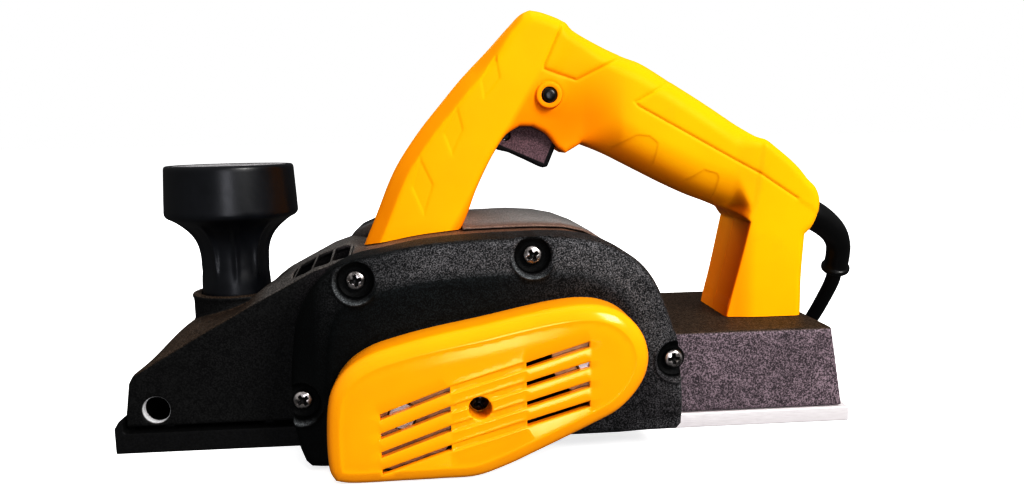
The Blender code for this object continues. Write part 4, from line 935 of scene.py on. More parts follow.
def remesh(ob, voxel, smooth=4, factor=0.5, ratio=1.0):
    """Melt the joined shapes into one skin with softly rounded edges, as a casting has."""
    md = ob.modifiers.new("Remesh", "REMESH")
    md.mode = "VOXEL"
    md.voxel_size = voxel * MM
    md.adaptivity = 0.0
    apply_all(ob)
    if smooth:
        sm = ob.modifiers.new("Smooth", "SMOOTH")
        sm.factor = factor
        sm.iterations = smooth
        apply_all(ob)
    if ratio < 1.0:
        dc = ob.modifiers.new("Decimate", "DECIMATE")
        dc.ratio = ratio
        apply_all(ob)
    return ob


def move_verts(ob, fn):
    """Shift the vertices by fn((n, 3) array in mm) -> (n, 3) array in mm."""
    n = len(ob.data.vertices)
    co = np.zeros(n * 3)
    ob.data.vertices.foreach_get("co", co)
    co = co.reshape(-1, 3) / MM
    co = fn(co) * MM
    ob.data.vertices.foreach_set("co", co.ravel())
    ob.data.update()
    return ob


def smooth_route(points, count):
    pts = [Vector(p) for p in points]
    ext = [2 * pts[0] - pts[1]] + pts + [2 * pts[-1] - pts[-2]]
    dense = []
    for i in range(len(pts) - 1):
        p0, p1, p2, p3 = ext[i:i + 4]
        for k in range(24):
            t = k / 24
            dense.append(0.5 * ((2 * p1) + (p2 - p0) * t + (2 * p0 - 5 * p1 + 4 * p2 - p3) * t * t
                                + (3 * p1 - p0 - 3 * p2 + p3) * t ** 3))
    dense.append(pts[-1])
    cum = [0.0]
    for a, b in zip(dense, dense[1:]):
        cum.append(cum[-1] + (b - a).length)
    out, j = [], 0
    for k in range(count):
        s = cum[-1] * k / (count - 1)
        while j < len(cum) - 2 and cum[j + 1] < s:
            j += 1
        f = 0 if cum[j + 1] == cum[j] else (s - cum[j]) / (cum[j + 1] - cum[j])
        out.append(dense[j].lerp(dense[j + 1], min(max(f, 0), 1)))
    return out


def tube_mesh(points, radii, seg=24, caps=True):
    """A round solid along points in mm, each with its radius, with rotation-minimising rings."""
    P = [Vector(p) for p in points]
    n = len(P)
    T = [(P[min(i + 1, n - 1)] - P[max(i - 1, 0)]).normalized() for i in range(n)]
    nrm = T[0].orthogonal().normalized()
    bm = bmesh.new()
    rows = []
    for i in range(n):
        nrm = (nrm - T[i] * nrm.dot(T[i])).normalized()
        bi = T[i].cross(nrm)
        rows.append([bm.verts.new((P[i] + (nrm * math.cos(2 * math.pi * k / seg) + bi * math.sin(2 * math.pi * k / seg)) * radii[i]) * MM)
                     for k in range(seg)])
    for a, b in zip(rows, rows[1:]):
        for k in range(seg):
            j = (k + 1) % seg
            bm.faces.new((a[k], a[j], b[j], b[k]))
    if caps:
        bm.faces.new(list(reversed(rows[0])))
        bm.faces.new(rows[-1])
    return from_bmesh(bm, "tube")

# ------------------------------------------------------------------ cord, first, because its room is checked
CORD_D = 6.5
COIL_C, IN_Y = (45.0, 143.0), 100.5
G_PTS = [(133.0, 0.0, 84.9), (139.0, 0.0, 83.2), (145.2, 0.1, 81.0), (151.6, 0.8, 77.4), (157.4, 1.8, 72.3),
         (160.6, 3.3, 66.6), (161.6, 5.2, 61.2), (162.0, 7.4, 56.4)]
g_line = smooth_route(G_PTS, 22)
g_end = (g_line[-1] - g_line[-2]).normalized()
start = g_line[-1] + g_end * 3.0
run = smooth_route([tuple(start), tuple(start + g_end * 5.0), (163.0, 17.5, 41.5), (163.4, 32.0, 26.5), (163.6, 47.0, 13.6),
                    (162.4, 63.0, 5.8), (157.5, 78.0, 3.6), (147.5, 90.5, 3.45), (133.0, 98.0, 3.5),
                    (116.0, IN_Y + 0.4, 3.7), (98.0, IN_Y, 4.1), (71.5, IN_Y, 4.5), (58.0, IN_Y, 4.5)], 90)


def step01(u, a, b):
    t = min(max((u - a) / (b - a), 0.0), 1.0)
    return t * t * (3 - 2 * t)


def coil_point(u):
    """Point after u degrees of turning: three rings in, three rings out on top, one more on the outside."""
    r = 42.5 - 6.5 * step01(u, 280, 340) - 6.5 * step01(u, 640, 700)
    r += 6.5 * step01(u, 1360, 1420) + 6.5 * step01(u, 1720, 1780)
    z = 4.5 + 6.5 * step01(u, 935, 1000) + 6.5 * step01(u, 2015, 2080)
    a = math.radians(-90.0 - u)
    return Vector((COIL_C[0] + r * math.cos(a), COIL_C[1] + r * math.sin(a), z))


coil = [coil_point(u) for u in range(0, 2521, 4)]
out_run = smooth_route([(45.0, IN_Y, 17.5), (38.5, IN_Y, 17.45), (32.0, IN_Y, 17.3), (25.0, IN_Y, 16.7), (18.5, IN_Y, 15.3), (8.0, IN_Y - 0.3, 12.6),
                        (-4.0, IN_Y - 0.8, 9.4), (-16.0, IN_Y - 1.0, 7.5), (-26.6, IN_Y - 1.0, 7.0)], 30)
cord_pts = list(run) + coil + out_run[1:]
clean = [cord_pts[0]]
for p in cord_pts[1:]:
    if (p - clean[-1]).length > 1.2:
        clean.append(p)
clean[-1] = cord_pts[-1]
cu = bpy.data.curves.new("supply_lead", "CURVE")
cu.dimensions = "3D"
cu.bevel_depth = CORD_D / 2 * MM
cu.bevel_resolution = 5
cu.use_fill_caps = True
sp = cu.splines.new("POLY")
sp.points.add(len(clean) - 1)
for q, p in zip(sp.points, clean):
    q.co = (p.x * MM, p.y * MM, p.z * MM, 1.0)
sp.use_smooth = True
cu.materials.append(M["cable"])
lead = bpy.data.objects.new("supply_lead", cu)
scene.collection.objects.link(lead)
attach(lead, "body")
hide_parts("supply_cord", "cord_tail", "cord_coil")

# strain relief: tapered sleeve with a rolled collar where the lead comes out
gl = smooth_route(G_PTS, 60)
g_rad = [7.5 - 2.3 * min(i / 59 / 0.75, 1.0) for i in range(60)]
tip = gl[-1]
tail_pts, tail_rad = [], []
for s, r in ((0.5, 5.25), (0.9, 5.5), (1.2, 6.0), (1.5, 6.2), (2.4, 6.25), (3.1, 6.1), (3.6, 5.6), (3.9, 4.9)):
    tail_pts.append(tip + g_end * (s - 0.6))
    tail_rad.append(r)
cut_at = 57
sleeve = tube_mesh(gl[:cut_at] + tail_pts, g_rad[:cut_at] + tail_rad, 40)
sleeve = named(sleeve, "lead_sleeve", M["rubber"], "body", 50, ["cord_guard"])

# tie round the coil
bpy.context.view_layer.update()
w = 1.5 * CORD_D


def rounded_rect(a0, a1, b0, b1, r, n=6):
    return (arc(a1 - r, b1 - r, r, 0, 90, n) + arc(a0 + r, b1 - r, r, 90, 180, n)
            + arc(a0 + r, b0 + r, r, 180, 270, n) + arc(a1 - r, b0 + r, r, 270, 360, n))


ty0, ty1 = COIL_C[1] + 36 - w - 0.8, COIL_C[1] + 36 + w + 0.3
tie = prism(rounded_rect(ty0 - 0.9, ty1 + 0.9, 0.05, 1.25 + 2 * w + 1.2, 3.0), COIL_C[0] - 4.5, COIL_C[0] + 4.5, "X",
            [list(reversed(rounded_rect(ty0, ty1, 0.95, 1.25 + 2 * w + 0.3, 2.2)))])
tie = bevel(tie, 0.25, 2)
tie = named(tie, "lead_tie", M["rubber"], "body", 40, ["cord_tie"])

# plug body with grip ribs
PY, PZ = IN_Y - 1.0, 7.0
plug_out = smooth_loop([(-27.0, PY - 5.2), (-34.0, PY - 5.4), (-40.0, PY - 6.4), (-44.0, PY - 10.0), (-48.0, PY - 12.4), (-62.0, PY - 13.0),
                        (-64.0, PY - 12.0), (-64.0, PY + 12.0), (-62.0, PY + 13.0), (-48.0, PY + 12.4), (-44.0, PY + 10.0),
                        (-40.0, PY + 6.4), (-34.0, PY + 5.4), (-27.0, PY + 5.2)], 1.0, 40)


def plug_h(P):
    d = seg_dist(P, plug_out)
    h = 6.75 - fillet(d, 3.6)
    grip = np.exp(-((np.mod(P[:, 0] + 30.0, 3.2) - 1.6) / 0.55) ** 2) * smooth01(-P[:, 0], 28, 31) * (1 - smooth01(-P[:, 0], 40, 43))
    return PZ + h - 0.6 * grip


top = relief(plug_out, plug_h, PZ, 0.9, (0.05, 0.2, 0.5, 1.0, 1.7, 2.6, 3.6), axis="Z")
bot = temp_object(top.data.copy())
move_verts(bot, lambda c: np.stack([c[:, 0], c[:, 1], 2 * PZ - c[:, 2]], 1))
bm = bmesh.new()
bm.from_mesh(bot.data)
bmesh.ops.reverse_faces(bm, faces=bm.faces)
bm.to_mesh(bot.data)
bm.free()
join(top, bot)
plug = named(top, "plug_shell", M["rubber"], "body", 40, ["plug_body"])
for n in ("plug_pin_1", "plug_pin_2"):
    frame["nodes"][n].data.materials.clear()
    frame["nodes"][n].data.materials.append(M["brass"])

# ------------------------------------------------------------------ outlines
DECK = [(-53.0, 73.2), (-39.0, 76.3), (-27.7, 78.3), (-9.0, 80.1), (7.0, 80.5), (20.0, 80.6),
        (31.0, 80.0), (39.0, 78.0), (46.5, 74.5), (52.5, 70.0), (57.3, 63.5), (61.0, 56.0), (64.5, 47.0)]
BOX_TOP = 39.1
COVER = [(-69.0, 3.2), (-71.1, 9.3), (-72.6, 17), (-73.3, 26), (-73.2, 35), (-72.5, 43), (-70.9, 53),
         (-67.6, 61.5), (-62.3, 68.4), (-56.6, 72.6), (-50.3, 75.2), (-39, 77.4), (-27.5, 79.6), (-9, 81.2),
         (7, 81.7), (19.5, 81.9), (29, 81.4), (38.6, 79.6), (47.6, 75.6), (53.5, 71.4), (58.4, 65.6),
         (62.4, 57.7), (66.4, 46.7), (68.2, 39.5), (68.9, 24), (68.7, 10.8), (66.8, 8.6), (33, 8.4), (15, 8.4),
         (6, 4.4), (-2, 1.2), (-10, 0.8), (-62, 0.8), (-67, 1.2)]
BELT_OUT = [(-56.5, 1.4), (-58.4, 5.0), (-58.3, 27), (-56.2, 34.5), (-51.6, 40.6), (-44.3, 45.3), (-34, 48.6),
            (-22, 51.4), (-5, 54.6), (10, 57.7), (20, 59.5), (29, 60.3), (36, 59.7), (42.5, 57.3), (47.5, 53.2),
            (51, 47.8), (52.5, 41), (51.2, 34.3), (47.4, 28), (41.5, 22.3), (32, 17.4), (22, 12.8), (12, 8.3),
            (2.5, 4.2), (-8, 0.9), (-20, 0.5), (-33, 0.4), (-52, 0.5)]
SCREWS = [(-48.9, 68.0), (14.2, 75.2), (-69.4, 25.1), (66.0, 35.0)]
BC_SCREW = (-6.5, 26.2)
H_TOP = [(-50.8, 74.3), (-46.0, 85.1), (-37.1, 105.1), (-27.5, 119.4), (-18.0, 130.9), (-8.7, 141.6), (2.5, 152.9),
         (9.9, 160.8), (15.5, 166.3), (19.3, 168.1), (24.0, 167.2), (33.7, 163.2), (36.5, 160.2), (58.4, 149.6),
         (65.3, 147.0), (78.0, 139.3), (90.9, 131.3), (103.8, 122.8), (113.7, 115.9), (118.0, 114.3), (122.0, 111.3),
         (128.0, 106.4), (132.5, 102.1), (136.2, 97.6), (139.6, 94.2), (141.5, 89.5), (141.3, 83.5), (138.6, 77.0),
         (135.6, 74.0), (134.6, 56.0), (134.6, BOX_TOP + 0.2)]
H_IN = [(101.4, BOX_TOP + 0.2), (105.6, 57.0), (110.8, 80.0), (106.5, 83.6), (98.0, 87.4), (88.3, 91.2), (78.1, 96.0),
        (66.4, 102.0), (49.1, 110.9), (41.0, 114.4), (33.9, 110.4), (30.6, 112.6), (25.5, 118.6), (20.0, 121.6),
        (14.5, 121.8), (9.0, 118.6), (4.6, 112.8), (-0.6, 103.5), (-4.5, 95.3), (-7.4, 87.6), (-10.7, 80.3)]
FOOT = [(-27.7, 78.5), (-39.0, 76.5)]

# ------------------------------------------------------------------ handle halves
h_out = smooth_loop(H_TOP + H_IN + FOOT, 1.0, 26.0)
HW = 19.0
CHEVRONS = [[(5.2, 149.6), (6.6, 141), (0, 133.2), (-1, 140.3)], [(-10.9, 129.8), (-8.8, 120.6), (-13.5, 111.1), (-16.4, 119.1)],
            [(-26.4, 109.7), (-21.5, 98.7), (-25.5, 87), (-30, 98.1)]]
LINE_TOP = [(32.7, 164.0), (24.5, 145.9), (24.4, 144.3), (37.8, 139.8), (55.4, 148.3), (60.0, 152.5)]
LINE_GRIP = [(80.0, 140.5), (62, 130.6), (63.4, 129), (114.7, 100.4), (131.3, 89.3)]
PAN_A = [(50.0, 108.6), (53.5, 112.5), (62.9, 117.4), (68.1, 116.9), (71.9, 113.8), (70.7, 105.6), (68.6, 98.5)]
PAN_B = [(81.0, 92.0), (84.6, 98), (91.5, 102.5), (97.1, 100.7), (97.9, 99), (97.2, 91.3), (96.4, 86.0)]
RIDGE = [(36.0, 163.0), (27.5, 147.0), (16.0, 133.0), (4.0, 112.0)]
H_SCREWS = [(-28.0, 92.0), (8.0, 147.5), (122.0, 62.0)]
BUTTON = (26.4, 134.0)
edge_line = np.array(h_out)
foot_free = [p for p in h_out if not (p[1] < BOX_TOP + 0.6 or (p[0] < -9 and p[1] < 78.6 + 0.05 * (p[0] + 27.7) + 2.5 and p[0] > -49))]
top_edge = smooth_loop(H_TOP[:-1] + [(134.6, 45.0), (134.6, 20.0)], 1.5, 26.0, closed=False)
in_edge = smooth_loop([(96.0, 20.0)] + H_IN + [(-16.0, 68.0)], 1.5, 26.0, closed=False)
top_edge = [(-58.0, 58.0)] + top_edge


def side_of(P, line):
    """Signed distance to an open polyline: positive on its left."""
    L = np.asarray(line, float)
    best = np.full(len(P), 1e9)
    sign = np.ones(len(P))
    for a, b in zip(L, L[1:]):
        d = b - a
        dd = max(float(d @ d), 1e-9)
        w = P - a
        t = np.clip((w @ d) / dd, 0, 1)
        v = w - t[:, None] * d
        q = np.sqrt((v * v).sum(1))
        c = d[0] * w[:, 1] - d[1] * w[:, 0]
        better = q < best - 1e-9
        best = np.where(better, q, best)
        sign = np.where(better, np.where(c >= 0, 1.0, -1.0), sign)
    return best * sign


def signed_poly(P, poly):
    d = seg_dist(P, poly)
    return np.where(inside(P, poly), d, -d)


def groove(d, width, depth):
    return depth * np.exp(-(d / width) ** 2)


def handle_y(P, left=True):
    x, z = P[:, 0], P[:, 1]
    dt = seg_dist(P, top_edge, closed=False)
    di = seg_dist(P, in_edge, closed=False)
    # how round each edge is: the grip is fullest, the front leg has a wide round on its leading edge
    grip = smooth01(x, 38, 56) * (1 - smooth01(x, 104, 122))
    rear = smooth01(x, 104, 118)
    leg = 1 - smooth01(x + 0.35 * (z - 120), 4, 26)
    r_top = (5.5 + 3.5 * grip) * (1 - rear) + 3.6 * rear
    on_leg = smooth01(x, 90, 99) * (1 - smooth01(z, 80.5, 87.5))
    r_in = (2.0 + 14.0 * grip * (1 - rear) + 1.0 * rear) * (1 - on_leg) + 1.1 * on_leg
    y = np.full(len(P), HW)
    # switch area sits back from the front leg's face, and the grip narrows in the middle
    s = side_of(P, RIDGE)
    back = smooth01(s, -1.0, 7.0) * (1 - smooth01(x, 40, 60))
    y -= 1.0 * back * smooth01(z, 104, 116)
    arch = smooth01(s, -0.5, 26.0) * (1 - smooth01(x, 40, 58)) * smooth01(z, 100, 112)
    y -= 6.4 * arch * (1 - smooth01(z, 112, 148) * 0.85)
    y -= 1.2 * grip * (1 - rear)
    facet = np.clip(6.6 - dt, 0, None)
    facet = 0.92 * (np.sqrt(facet * facet + 0.35) - 0.5916) + 0.5 * fillet(dt, 1.6)
    y -= leg * facet + (1 - leg) * fillet(dt, np.maximum(r_top, 0.5))
    y -= fillet(di, np.maximum(r_in, 0.5))
    # moulded lines and panels
    for c in CHEVRONS:
        q = signed_poly(P, c)
        y -= 0.30 * smooth01(q, -0.25, 0.55) + groove(q, 0.5, 0.12)
    q = side_of(P, LINE_TOP)
    y -= groove(q, 0.55, 0.38) - 0.35 * smooth01(q, 0.0, 1.2) * (1 - smooth01(q, 12, 16)) * smooth01(x, 20, 26) * (1 - smooth01(x, 58, 62))
    q = side_of(P, LINE_GRIP)
    up_side = smooth01(q, 0.0, 1.0) * (1 - smooth01(q, 18, 24)) * smooth01(x, 60, 64)
    y -= groove(q, 0.55, 0.30) - 0.30 * up_side
    for c in (PAN_A, PAN_B):
        q = signed_poly(P, c)
        y -= 0.32 * smooth01(q, -0.25, 0.55)
    # collar where the grip meets the rear leg
    q = side_of(P, [(116.8, 116.5), (116.5, 113.0), (114.7, 98.7), (113.1, 86.4), (109.0, 79.2)])
    y += 0.55 * smooth01(q, -1.4, 0.8) * smooth01(x, 104, 112)
    if left:
        rb = np.hypot(x - BUTTON[0], z - BUTTON[1])
        boss = 1 - smooth01(rb, 5.25, 5.75)
        crown = 20.2 - fillet(np.clip(5.5 - rb, 0, 9), 0.8) - fillet(np.clip(rb - 3.0, 0, 9), 0.9)
        y = np.where(boss > 0, y + (np.maximum(crown, y) - y) * boss, y)
        y += 0.35 * np.exp(-((rb - 6.6) / 1.4) ** 2) * (rb > 5.5)
        y = np.where(rb < 3.02, 12.6, y)
    else:
        for sx, sz in H_SCREWS:
            rb = np.hypot(x - sx, z - sz)
            y = np.where(rb < 4.05, 15.4, y + 0.35 * np.exp(-((rb - 4.9) / 0.7) ** 2) * (rb >= 4.05))
    return y


DETAIL = [line_points(c, (-0.8, -0.4, 0.0, 0.4, 0.8), 0.7, True) for c in CHEVRONS]
DETAIL += [line_points(c, (-0.7, -0.3, 0.0, 0.3, 0.7), 0.7, True) for c in (PAN_A, PAN_B)]
DETAIL += [line_points(LINE_TOP, (-1.3, -0.7, -0.35, 0.0, 0.35, 0.7, 1.3), 0.6), line_points(LINE_GRIP, (-1.2, -0.7, -0.35, 0.0, 0.35, 0.7, 1.2), 0.6)]
PIN = (9.2, 118.0)
TRIG_SLOT = [(2.0, 100.0), (2.0, 114.0), (6.0, 126.2), (32.8, 126.2), (32.8, 100.0)]
RINGS = (0.05, 0.18, 0.4, 0.75, 1.2, 1.8, 2.6, 3.5)
for side in (-1, 1):
    extra = list(DETAIL)
    if side < 0:
        extra += [ring_points(BUTTON, (r,), 64) for r in (2.6, 3.0, 3.05, 3.3, 3.7, 4.3, 4.8, 5.1, 5.25, 5.5, 5.75, 6.2, 7.0)]
    else:
        for c in H_SCREWS:
            extra.append(ring_points(c, (3.0, 3.9, 4.02, 4.1, 4.5, 5.0, 5.6), 40))
    h = relief(h_out, lambda P, s=side: s * np.maximum(handle_y(P, s < 0), 0.6), side * 0.12, 1.15, RINGS, (), extra)
    cut(h, prism(TRIG_SLOT, -8.7, 8.7))
    if side < 0:
        cut(h, cyl("Y", BUTTON, -15.8, -8.0, 5.0, 40))
    hole = tube_mesh([(128.0, 0.0, 86.4), (160.0, 0.0, 76.8)], [8.1, 8.1], 40)
    cut(h, hole)
    nm = "handle_left" if side < 0 else "handle_right"
    named(h, "grip_shell_left" if side < 0 else "grip_shell_right", M["handle"], "body", 42, [nm])

# ------------------------------------------------------------------ side cover
cov_out = smooth_loop(COVER, 1.2, 22.0)
COV_LINE = smooth_loop([(-78.0, -6.0)] + COVER[:26] + [(70.0, -6.0)], 1.4, 30.0, closed=False)
POCKETS = SCREWS


def cover_y(P):
    x, z = P[:, 0], P[:, 1]
    d = seg_dist(P, cov_out)
    du = seg_dist(P, COV_LINE, closed=False)
    y = np.full(len(P), 67.0)
    # a sloping band follows the outer edge, then the face steps up to a crease
    band = smooth01(z, 14, 44)
    y -= band * 3.4 * np.clip((13.2 - du) / 13.2, 0, 1)
    y -= band * 0.5 * (1 - smooth01(du, 12.2, 14.2))
    # lower right toe slopes back to the sole
    y -= 0.9 * smooth01(x, 44, 56) * (1 - smooth01(z, 12.0, 16.5))
    y -= fillet(d, 2.6)
    # screw pockets with a rolled lip
    for k, (sx, sz) in enumerate(POCKETS):
        r = np.hypot(x - sx, z - sz)
        wall = smooth01(r, 6.0, 7.1)
        lip = 0.95 * np.exp(-((r - 7.9) / 0.65) ** 2) * smooth01(-(x - sx) * 0.5 - (z - sz) * 0.9, -6.0, 3.0)
        bowl = 61.45 + 0.5 * smooth01(r, 4.6, 6.0)
        y = np.where(r < 9.5, bowl + (np.maximum(y + lip, bowl) - bowl) * wall, y)
    # hollow moat beside the belt cover
    db = seg_dist(P, BELT_OUT)
    y -= 0.5 * np.exp(-((db - 0.4) / 0.8) ** 2)
    return -y


extra = [ring_points(c, (r,), 60) for c in POCKETS for r in (4.4, 5.2, 5.8, 6.15, 6.5, 6.85, 7.2, 7.6, 8.0, 8.5, 9.1)]
extra.append(line_points(offset_points(smooth_loop(COVER, 2.0, 22.0), 13.2), (-0.8, 0.0, 0.8), 1.0, True))
cover = relief(cov_out, cover_y, -42.5, 1.5, (0.06, 0.25, 0.6, 1.1, 1.8, 2.6), (), extra)
cut(cover, prism(offset_points(smooth_loop(COVER, 2.5, 22.0), 2.8).tolist(), -60.8 + 0.0, -30))
for sx, sz in SCREWS:
    col = cyl("Y", (sx, sz), -61.2, -42.6, 4.6, 40)
    join(cover, col)
    cut(cover, cyl("Y", (sx, sz), -66, -35, 2.3, 24))
cut(cover, cyl("Y", (-33.0, 24.0), -75, -58, 12.0, 64), cyl("Y", (30.0, 41.0), -75, -58, 8.0, 48))
named(cover, "side_cover_shell", M["cover"], "body", 40, ["side_cover"])

# ------------------------------------------------------------------ belt cover
bel_out = smooth_loop(BELT_OUT, 1.1, 40.0)
bel_in = offset_points(smooth_loop(BELT_OUT, 2.5, 40.0), 10.5)
SLOT_L = [(28.9, 0.36), (22.2, 0.36), (15.5, 0.35), (8.9, 0.33)]
SLOT_R = [(43.8, 0.30), (36.9, 0.29), (30.0, 0.29), (23.2, 0.28)]


def slot4(xa, xb, zc, sl, w):
    xm = (xa + xb) / 2
    za, zb = zc + (xa - xm) * sl, zc + (xb - xm) * sl
    return [(xa, za - w / 2), (xb, zb - w / 2), (xb, zb + w / 2), (xa, za + w / 2)]


slots = [slot4(-40.3, -16.5, zc, sl, 2.05) for zc, sl in SLOT_L] + [slot4(9.5, 31.1, zc, sl, 2.05) for zc, sl in SLOT_R]
CHANNELS = [((-16.0, zl + 12.1 * sl), (9.0, zr - 11.0 * sr)) for (zl, sl), (zr, sr) in zip(SLOT_L, SLOT_R)]


def belt_y(P):
    x, z = P[:, 0], P[:, 1]
    d = seg_dist(P, bel_out)
    y = np.full(len(P), 84.0)
    y -= fillet(d, 4.6) * 0.95
    # a fine ridge runs inside the rolled rim and the panel inside it is a touch lower
    y -= 0.14 * smooth01(d, 5.0, 5.9)
    y += 0.09 * np.exp(-((d - 4.9) / 0.45) ** 2)
    y -= 0.75 * np.clip(1 - (d - 3.0) / 7.0, 0, 1) ** 2
    # shallow channels join the slots
    for (xa, za), (xb, zb) in CHANNELS:
        t = np.clip((x - xa) / (xb - xa), 0, 1)
        zz = za + (zb - za) * t
        on = smooth01(x, xa - 0.5, xa + 0.6) * (1 - smooth01(x, xb - 0.6, xb + 0.5))
        q = np.abs(z - zz)
        y -= 0.45 * on * (1 - smooth01(q, 0.9, 1.5))
        y += 0.10 * on * np.exp(-((q - 1.8) / 0.35) ** 2)
    # rolled edges of the slots
    for s in slots:
        q = seg_dist(P, s)
        y -= 0.35 * (1 - smooth01(q, 0.0, 0.5))
    rb = np.hypot(x - BC_SCREW[0], z - BC_SCREW[1])
    y -= fillet(np.clip(rb - 3.9, 0, 9), 0.55)
    return -np.maximum(y, 77.9)


extra = [line_points(s, (-0.55, -0.25), 0.8, True) for s in slots] + [line_points(s, (0.3, 0.6, 1.0), 0.8, True) for s in slots]
for a, b in CHANNELS:
    extra.append(line_points([(a[0] - 0.4, a[1]), (b[0] + 0.4, b[1])], (-2.1, -1.8, -1.5, -1.2, -0.9, -0.3, 0.3, 0.9, 1.2, 1.5, 1.8, 2.1), 0.9))
extra.append(ring_points(BC_SCREW, (3.95, 4.1, 4.3, 4.5, 4.8, 5.4), 56))
extra.append(line_points(offset_points(bel_out, 5.0), (-0.45, -0.2, 0.0, 0.2, 0.5, 0.9), 0.9, True))
hole = [tuple(p) for p in ring_points(BC_SCREW, (3.9,), 56)]
belt_c = relief(bel_out, belt_y, -67.3, 1.3, (0.05, 0.2, 0.45, 0.85, 1.4, 2.1, 3.0, 3.9), [list(reversed(s)) for s in slots] + [hole], extra)
cut(belt_c, prism(offset_points(smooth_loop(BELT_OUT, 2.0, 40.0), 3.4).tolist(), -81.0, -60))
post = lathe_mesh([(3.9, -82.4), (5.3, -82.4), (5.3, -67.4), (1.9, -67.4), (1.9, -74.3), (3.9, -74.3)], "Y", BC_SCREW, 56)
join(belt_c, post)
named(belt_c, "belt_cover_shell", M["belt"], "body", 38, ["belt_cover"])


# ------------------------------------------------------------------ cross-recess screws
def screw_head(c, seat, r=3.6, h=2.3, turn=20.0, direction=-1):
    """Domed pan head with a tapered cross recess; seat is where the head sits, facing direction along Y."""
    out = [tuple(p) for p in ring_points(c, (r,), 64)]
    t = math.radians(turn)

    def top(P):
        u = (P[:, 0] - c[0]) * math.cos(t) + (P[:, 1] - c[1]) * math.sin(t)
        v = -(P[:, 0] - c[0]) * math.sin(t) + (P[:, 1] - c[1]) * math.cos(t)
        rr = np.hypot(u, v)
        y = h - 0.95 * (rr / r) ** 2 - fillet(np.clip(r - rr, 0, 9), 0.75)
        y -= 0.25 * (1 - smooth01(rr, 0, 1.6))
        arm = np.minimum(np.maximum(np.abs(u) - 0.42, 0) + np.maximum(np.abs(v) - 1.95, 0) * 1.2,
                         np.maximum(np.abs(v) - 0.42, 0) + np.maximum(np.abs(u) - 1.95, 0) * 1.2)
        core = np.maximum(rr - 0.95, 0)
        deep = 1.45 * (1 - smooth01(np.minimum(arm, core), 0.0, 0.32)) * (1 - 0.35 * smooth01(rr, 0.8, 2.1))
        return seat + direction * np.maximum(y - deep, 0.3)

    ob = relief(out, top, seat, 0.24, (0.04, 0.12, 0.25, 0.45), (), ())
    return ob


def screw_shank(c, seat, length, r, direction=1):
    prof = [(0, seat), (r, seat)]
    k = 0.0
    while k < length - 2.0:
        prof += [(r, seat + direction * (k + 0.35)), (r * 0.82, seat + direction * (k + 0.7)), (r, seat + direction * (k + 1.05))]
        k += 1.05
    prof += [(r * 0.35, seat + direction * length), (0, seat + direction * length)]
    return lathe_mesh(prof, "Y", c, 20)


for k, c in enumerate(SCREWS):
    s = screw_head(c, -61.8, 3.6, 2.3, (12.0, 28.0, 38.0, 5.0)[k])
    join(s, screw_shank(c, -61.9, 28.0, 2.0))
    mat = make_screw("cover_screw_chrome_%d" % (k + 1), c, (12.0, 28.0, 38.0, 5.0)[k], 3.6)
    named(s, "cover_screw_%d" % (k + 1), mat, "body", 30, ["side_cover_screw_%d" % (k + 1)])
s = screw_head(BC_SCREW, -74.6, 3.4, 2.3, 33.0)
join(s, screw_shank(BC_SCREW, -74.7, 17.4, 1.5))
# painted shade: this screw, deep in its post, is coloured almost black
mat = make_screw("belt_screw_chrome", BC_SCREW, 33.0, 3.4, (0.010, 0.009, 0.009), (0.055, 0.050, 0.048))
named(s, "belt_cover_fixing", mat, "body", 30, ["belt_cover_screw"])
for k, c in enumerate(H_SCREWS):
    s = screw_head(c, 15.3, 3.5, 2.2, (15.0, 52.0, 31.0)[k], 1)
    join(s, screw_shank(c, 15.4, 28.0, 1.75, -1))
    mat = make_screw("grip_screw_chrome_%d" % (k + 1), c, (15.0, 52.0, 31.0)[k], 3.5)
    named(s, "grip_screw_%d" % (k + 1), mat, "body", 30, ["handle_screw_%d" % (k + 1)])

# ------------------------------------------------------------------ working copies of CAD shapes
def cad_copy(node):
    """A working copy of a CAD piece's surface, welded; the CAD piece itself stays as it is."""
    bm = bmesh.new()
    bm.from_mesh(frame["nodes"][node].data)
    bmesh.ops.remove_doubles(bm, verts=bm.verts, dist=2e-6)
    return from_bmesh(bm, "copy")


# ------------------------------------------------------------------ depth knob
KNOB = (-106.7, 0.0)
neck = smooth_loop([(13.9, 50.2), (13.9, 60.0), (13.9, 66.0), (14.1, 72.0), (15.2, 76.5), (17.4, 80.2), (20.6, 83.4), (23.4, 85.4)],
                   0.6, 60.0, closed=False)
rim_low = [(24.6, 86.1), (25.6, 86.6), (26.3, 87.2), (26.75, 88.0), (26.9, 88.9)]
head = [(26.9 - 1.0 * k / 16, 88.9 + 17.9 * k / 16) for k in range(1, 17)]
rim_top = [(25.75, 107.45), (25.45, 107.9), (25.0, 108.15), (24.4, 108.2), (24.05, 108.1), (23.9, 107.85), (23.88, 107.3), (23.85, 106.75)]
knob_prof = ([(5.35, 28.6), (9.2, 28.6), (9.5, 28.9), (9.5, 49.5), (13.5, 49.5), (13.8, 49.7)] + neck + rim_low + head + rim_top
             + [(23.0, 106.65), (0.0, 106.65), (0.0, 62.0), (5.35, 62.0)])


def flute(r, h, t):
    """Ten scalloped ribs run up the flared neck under the head."""
    if r < 12.0 or h > 86.2 or h < 58.0:
        return r
    w = (1 if h > 66 else max(0.0, (h - 58.0) / 8.0)) * (1 if h < 83.0 else max(0.0, (86.2 - h) / 3.2))
    w = w * w * (3 - 2 * w)
    s = 0.5 + 0.5 * math.cos(10 * t + 0.35)
    ridge = s ** 6
    return r - w * (0.85 * (1 - ridge) - 0.35 * ridge) * min(1.0, 0.35 + (h - 58.0) / 24.0)


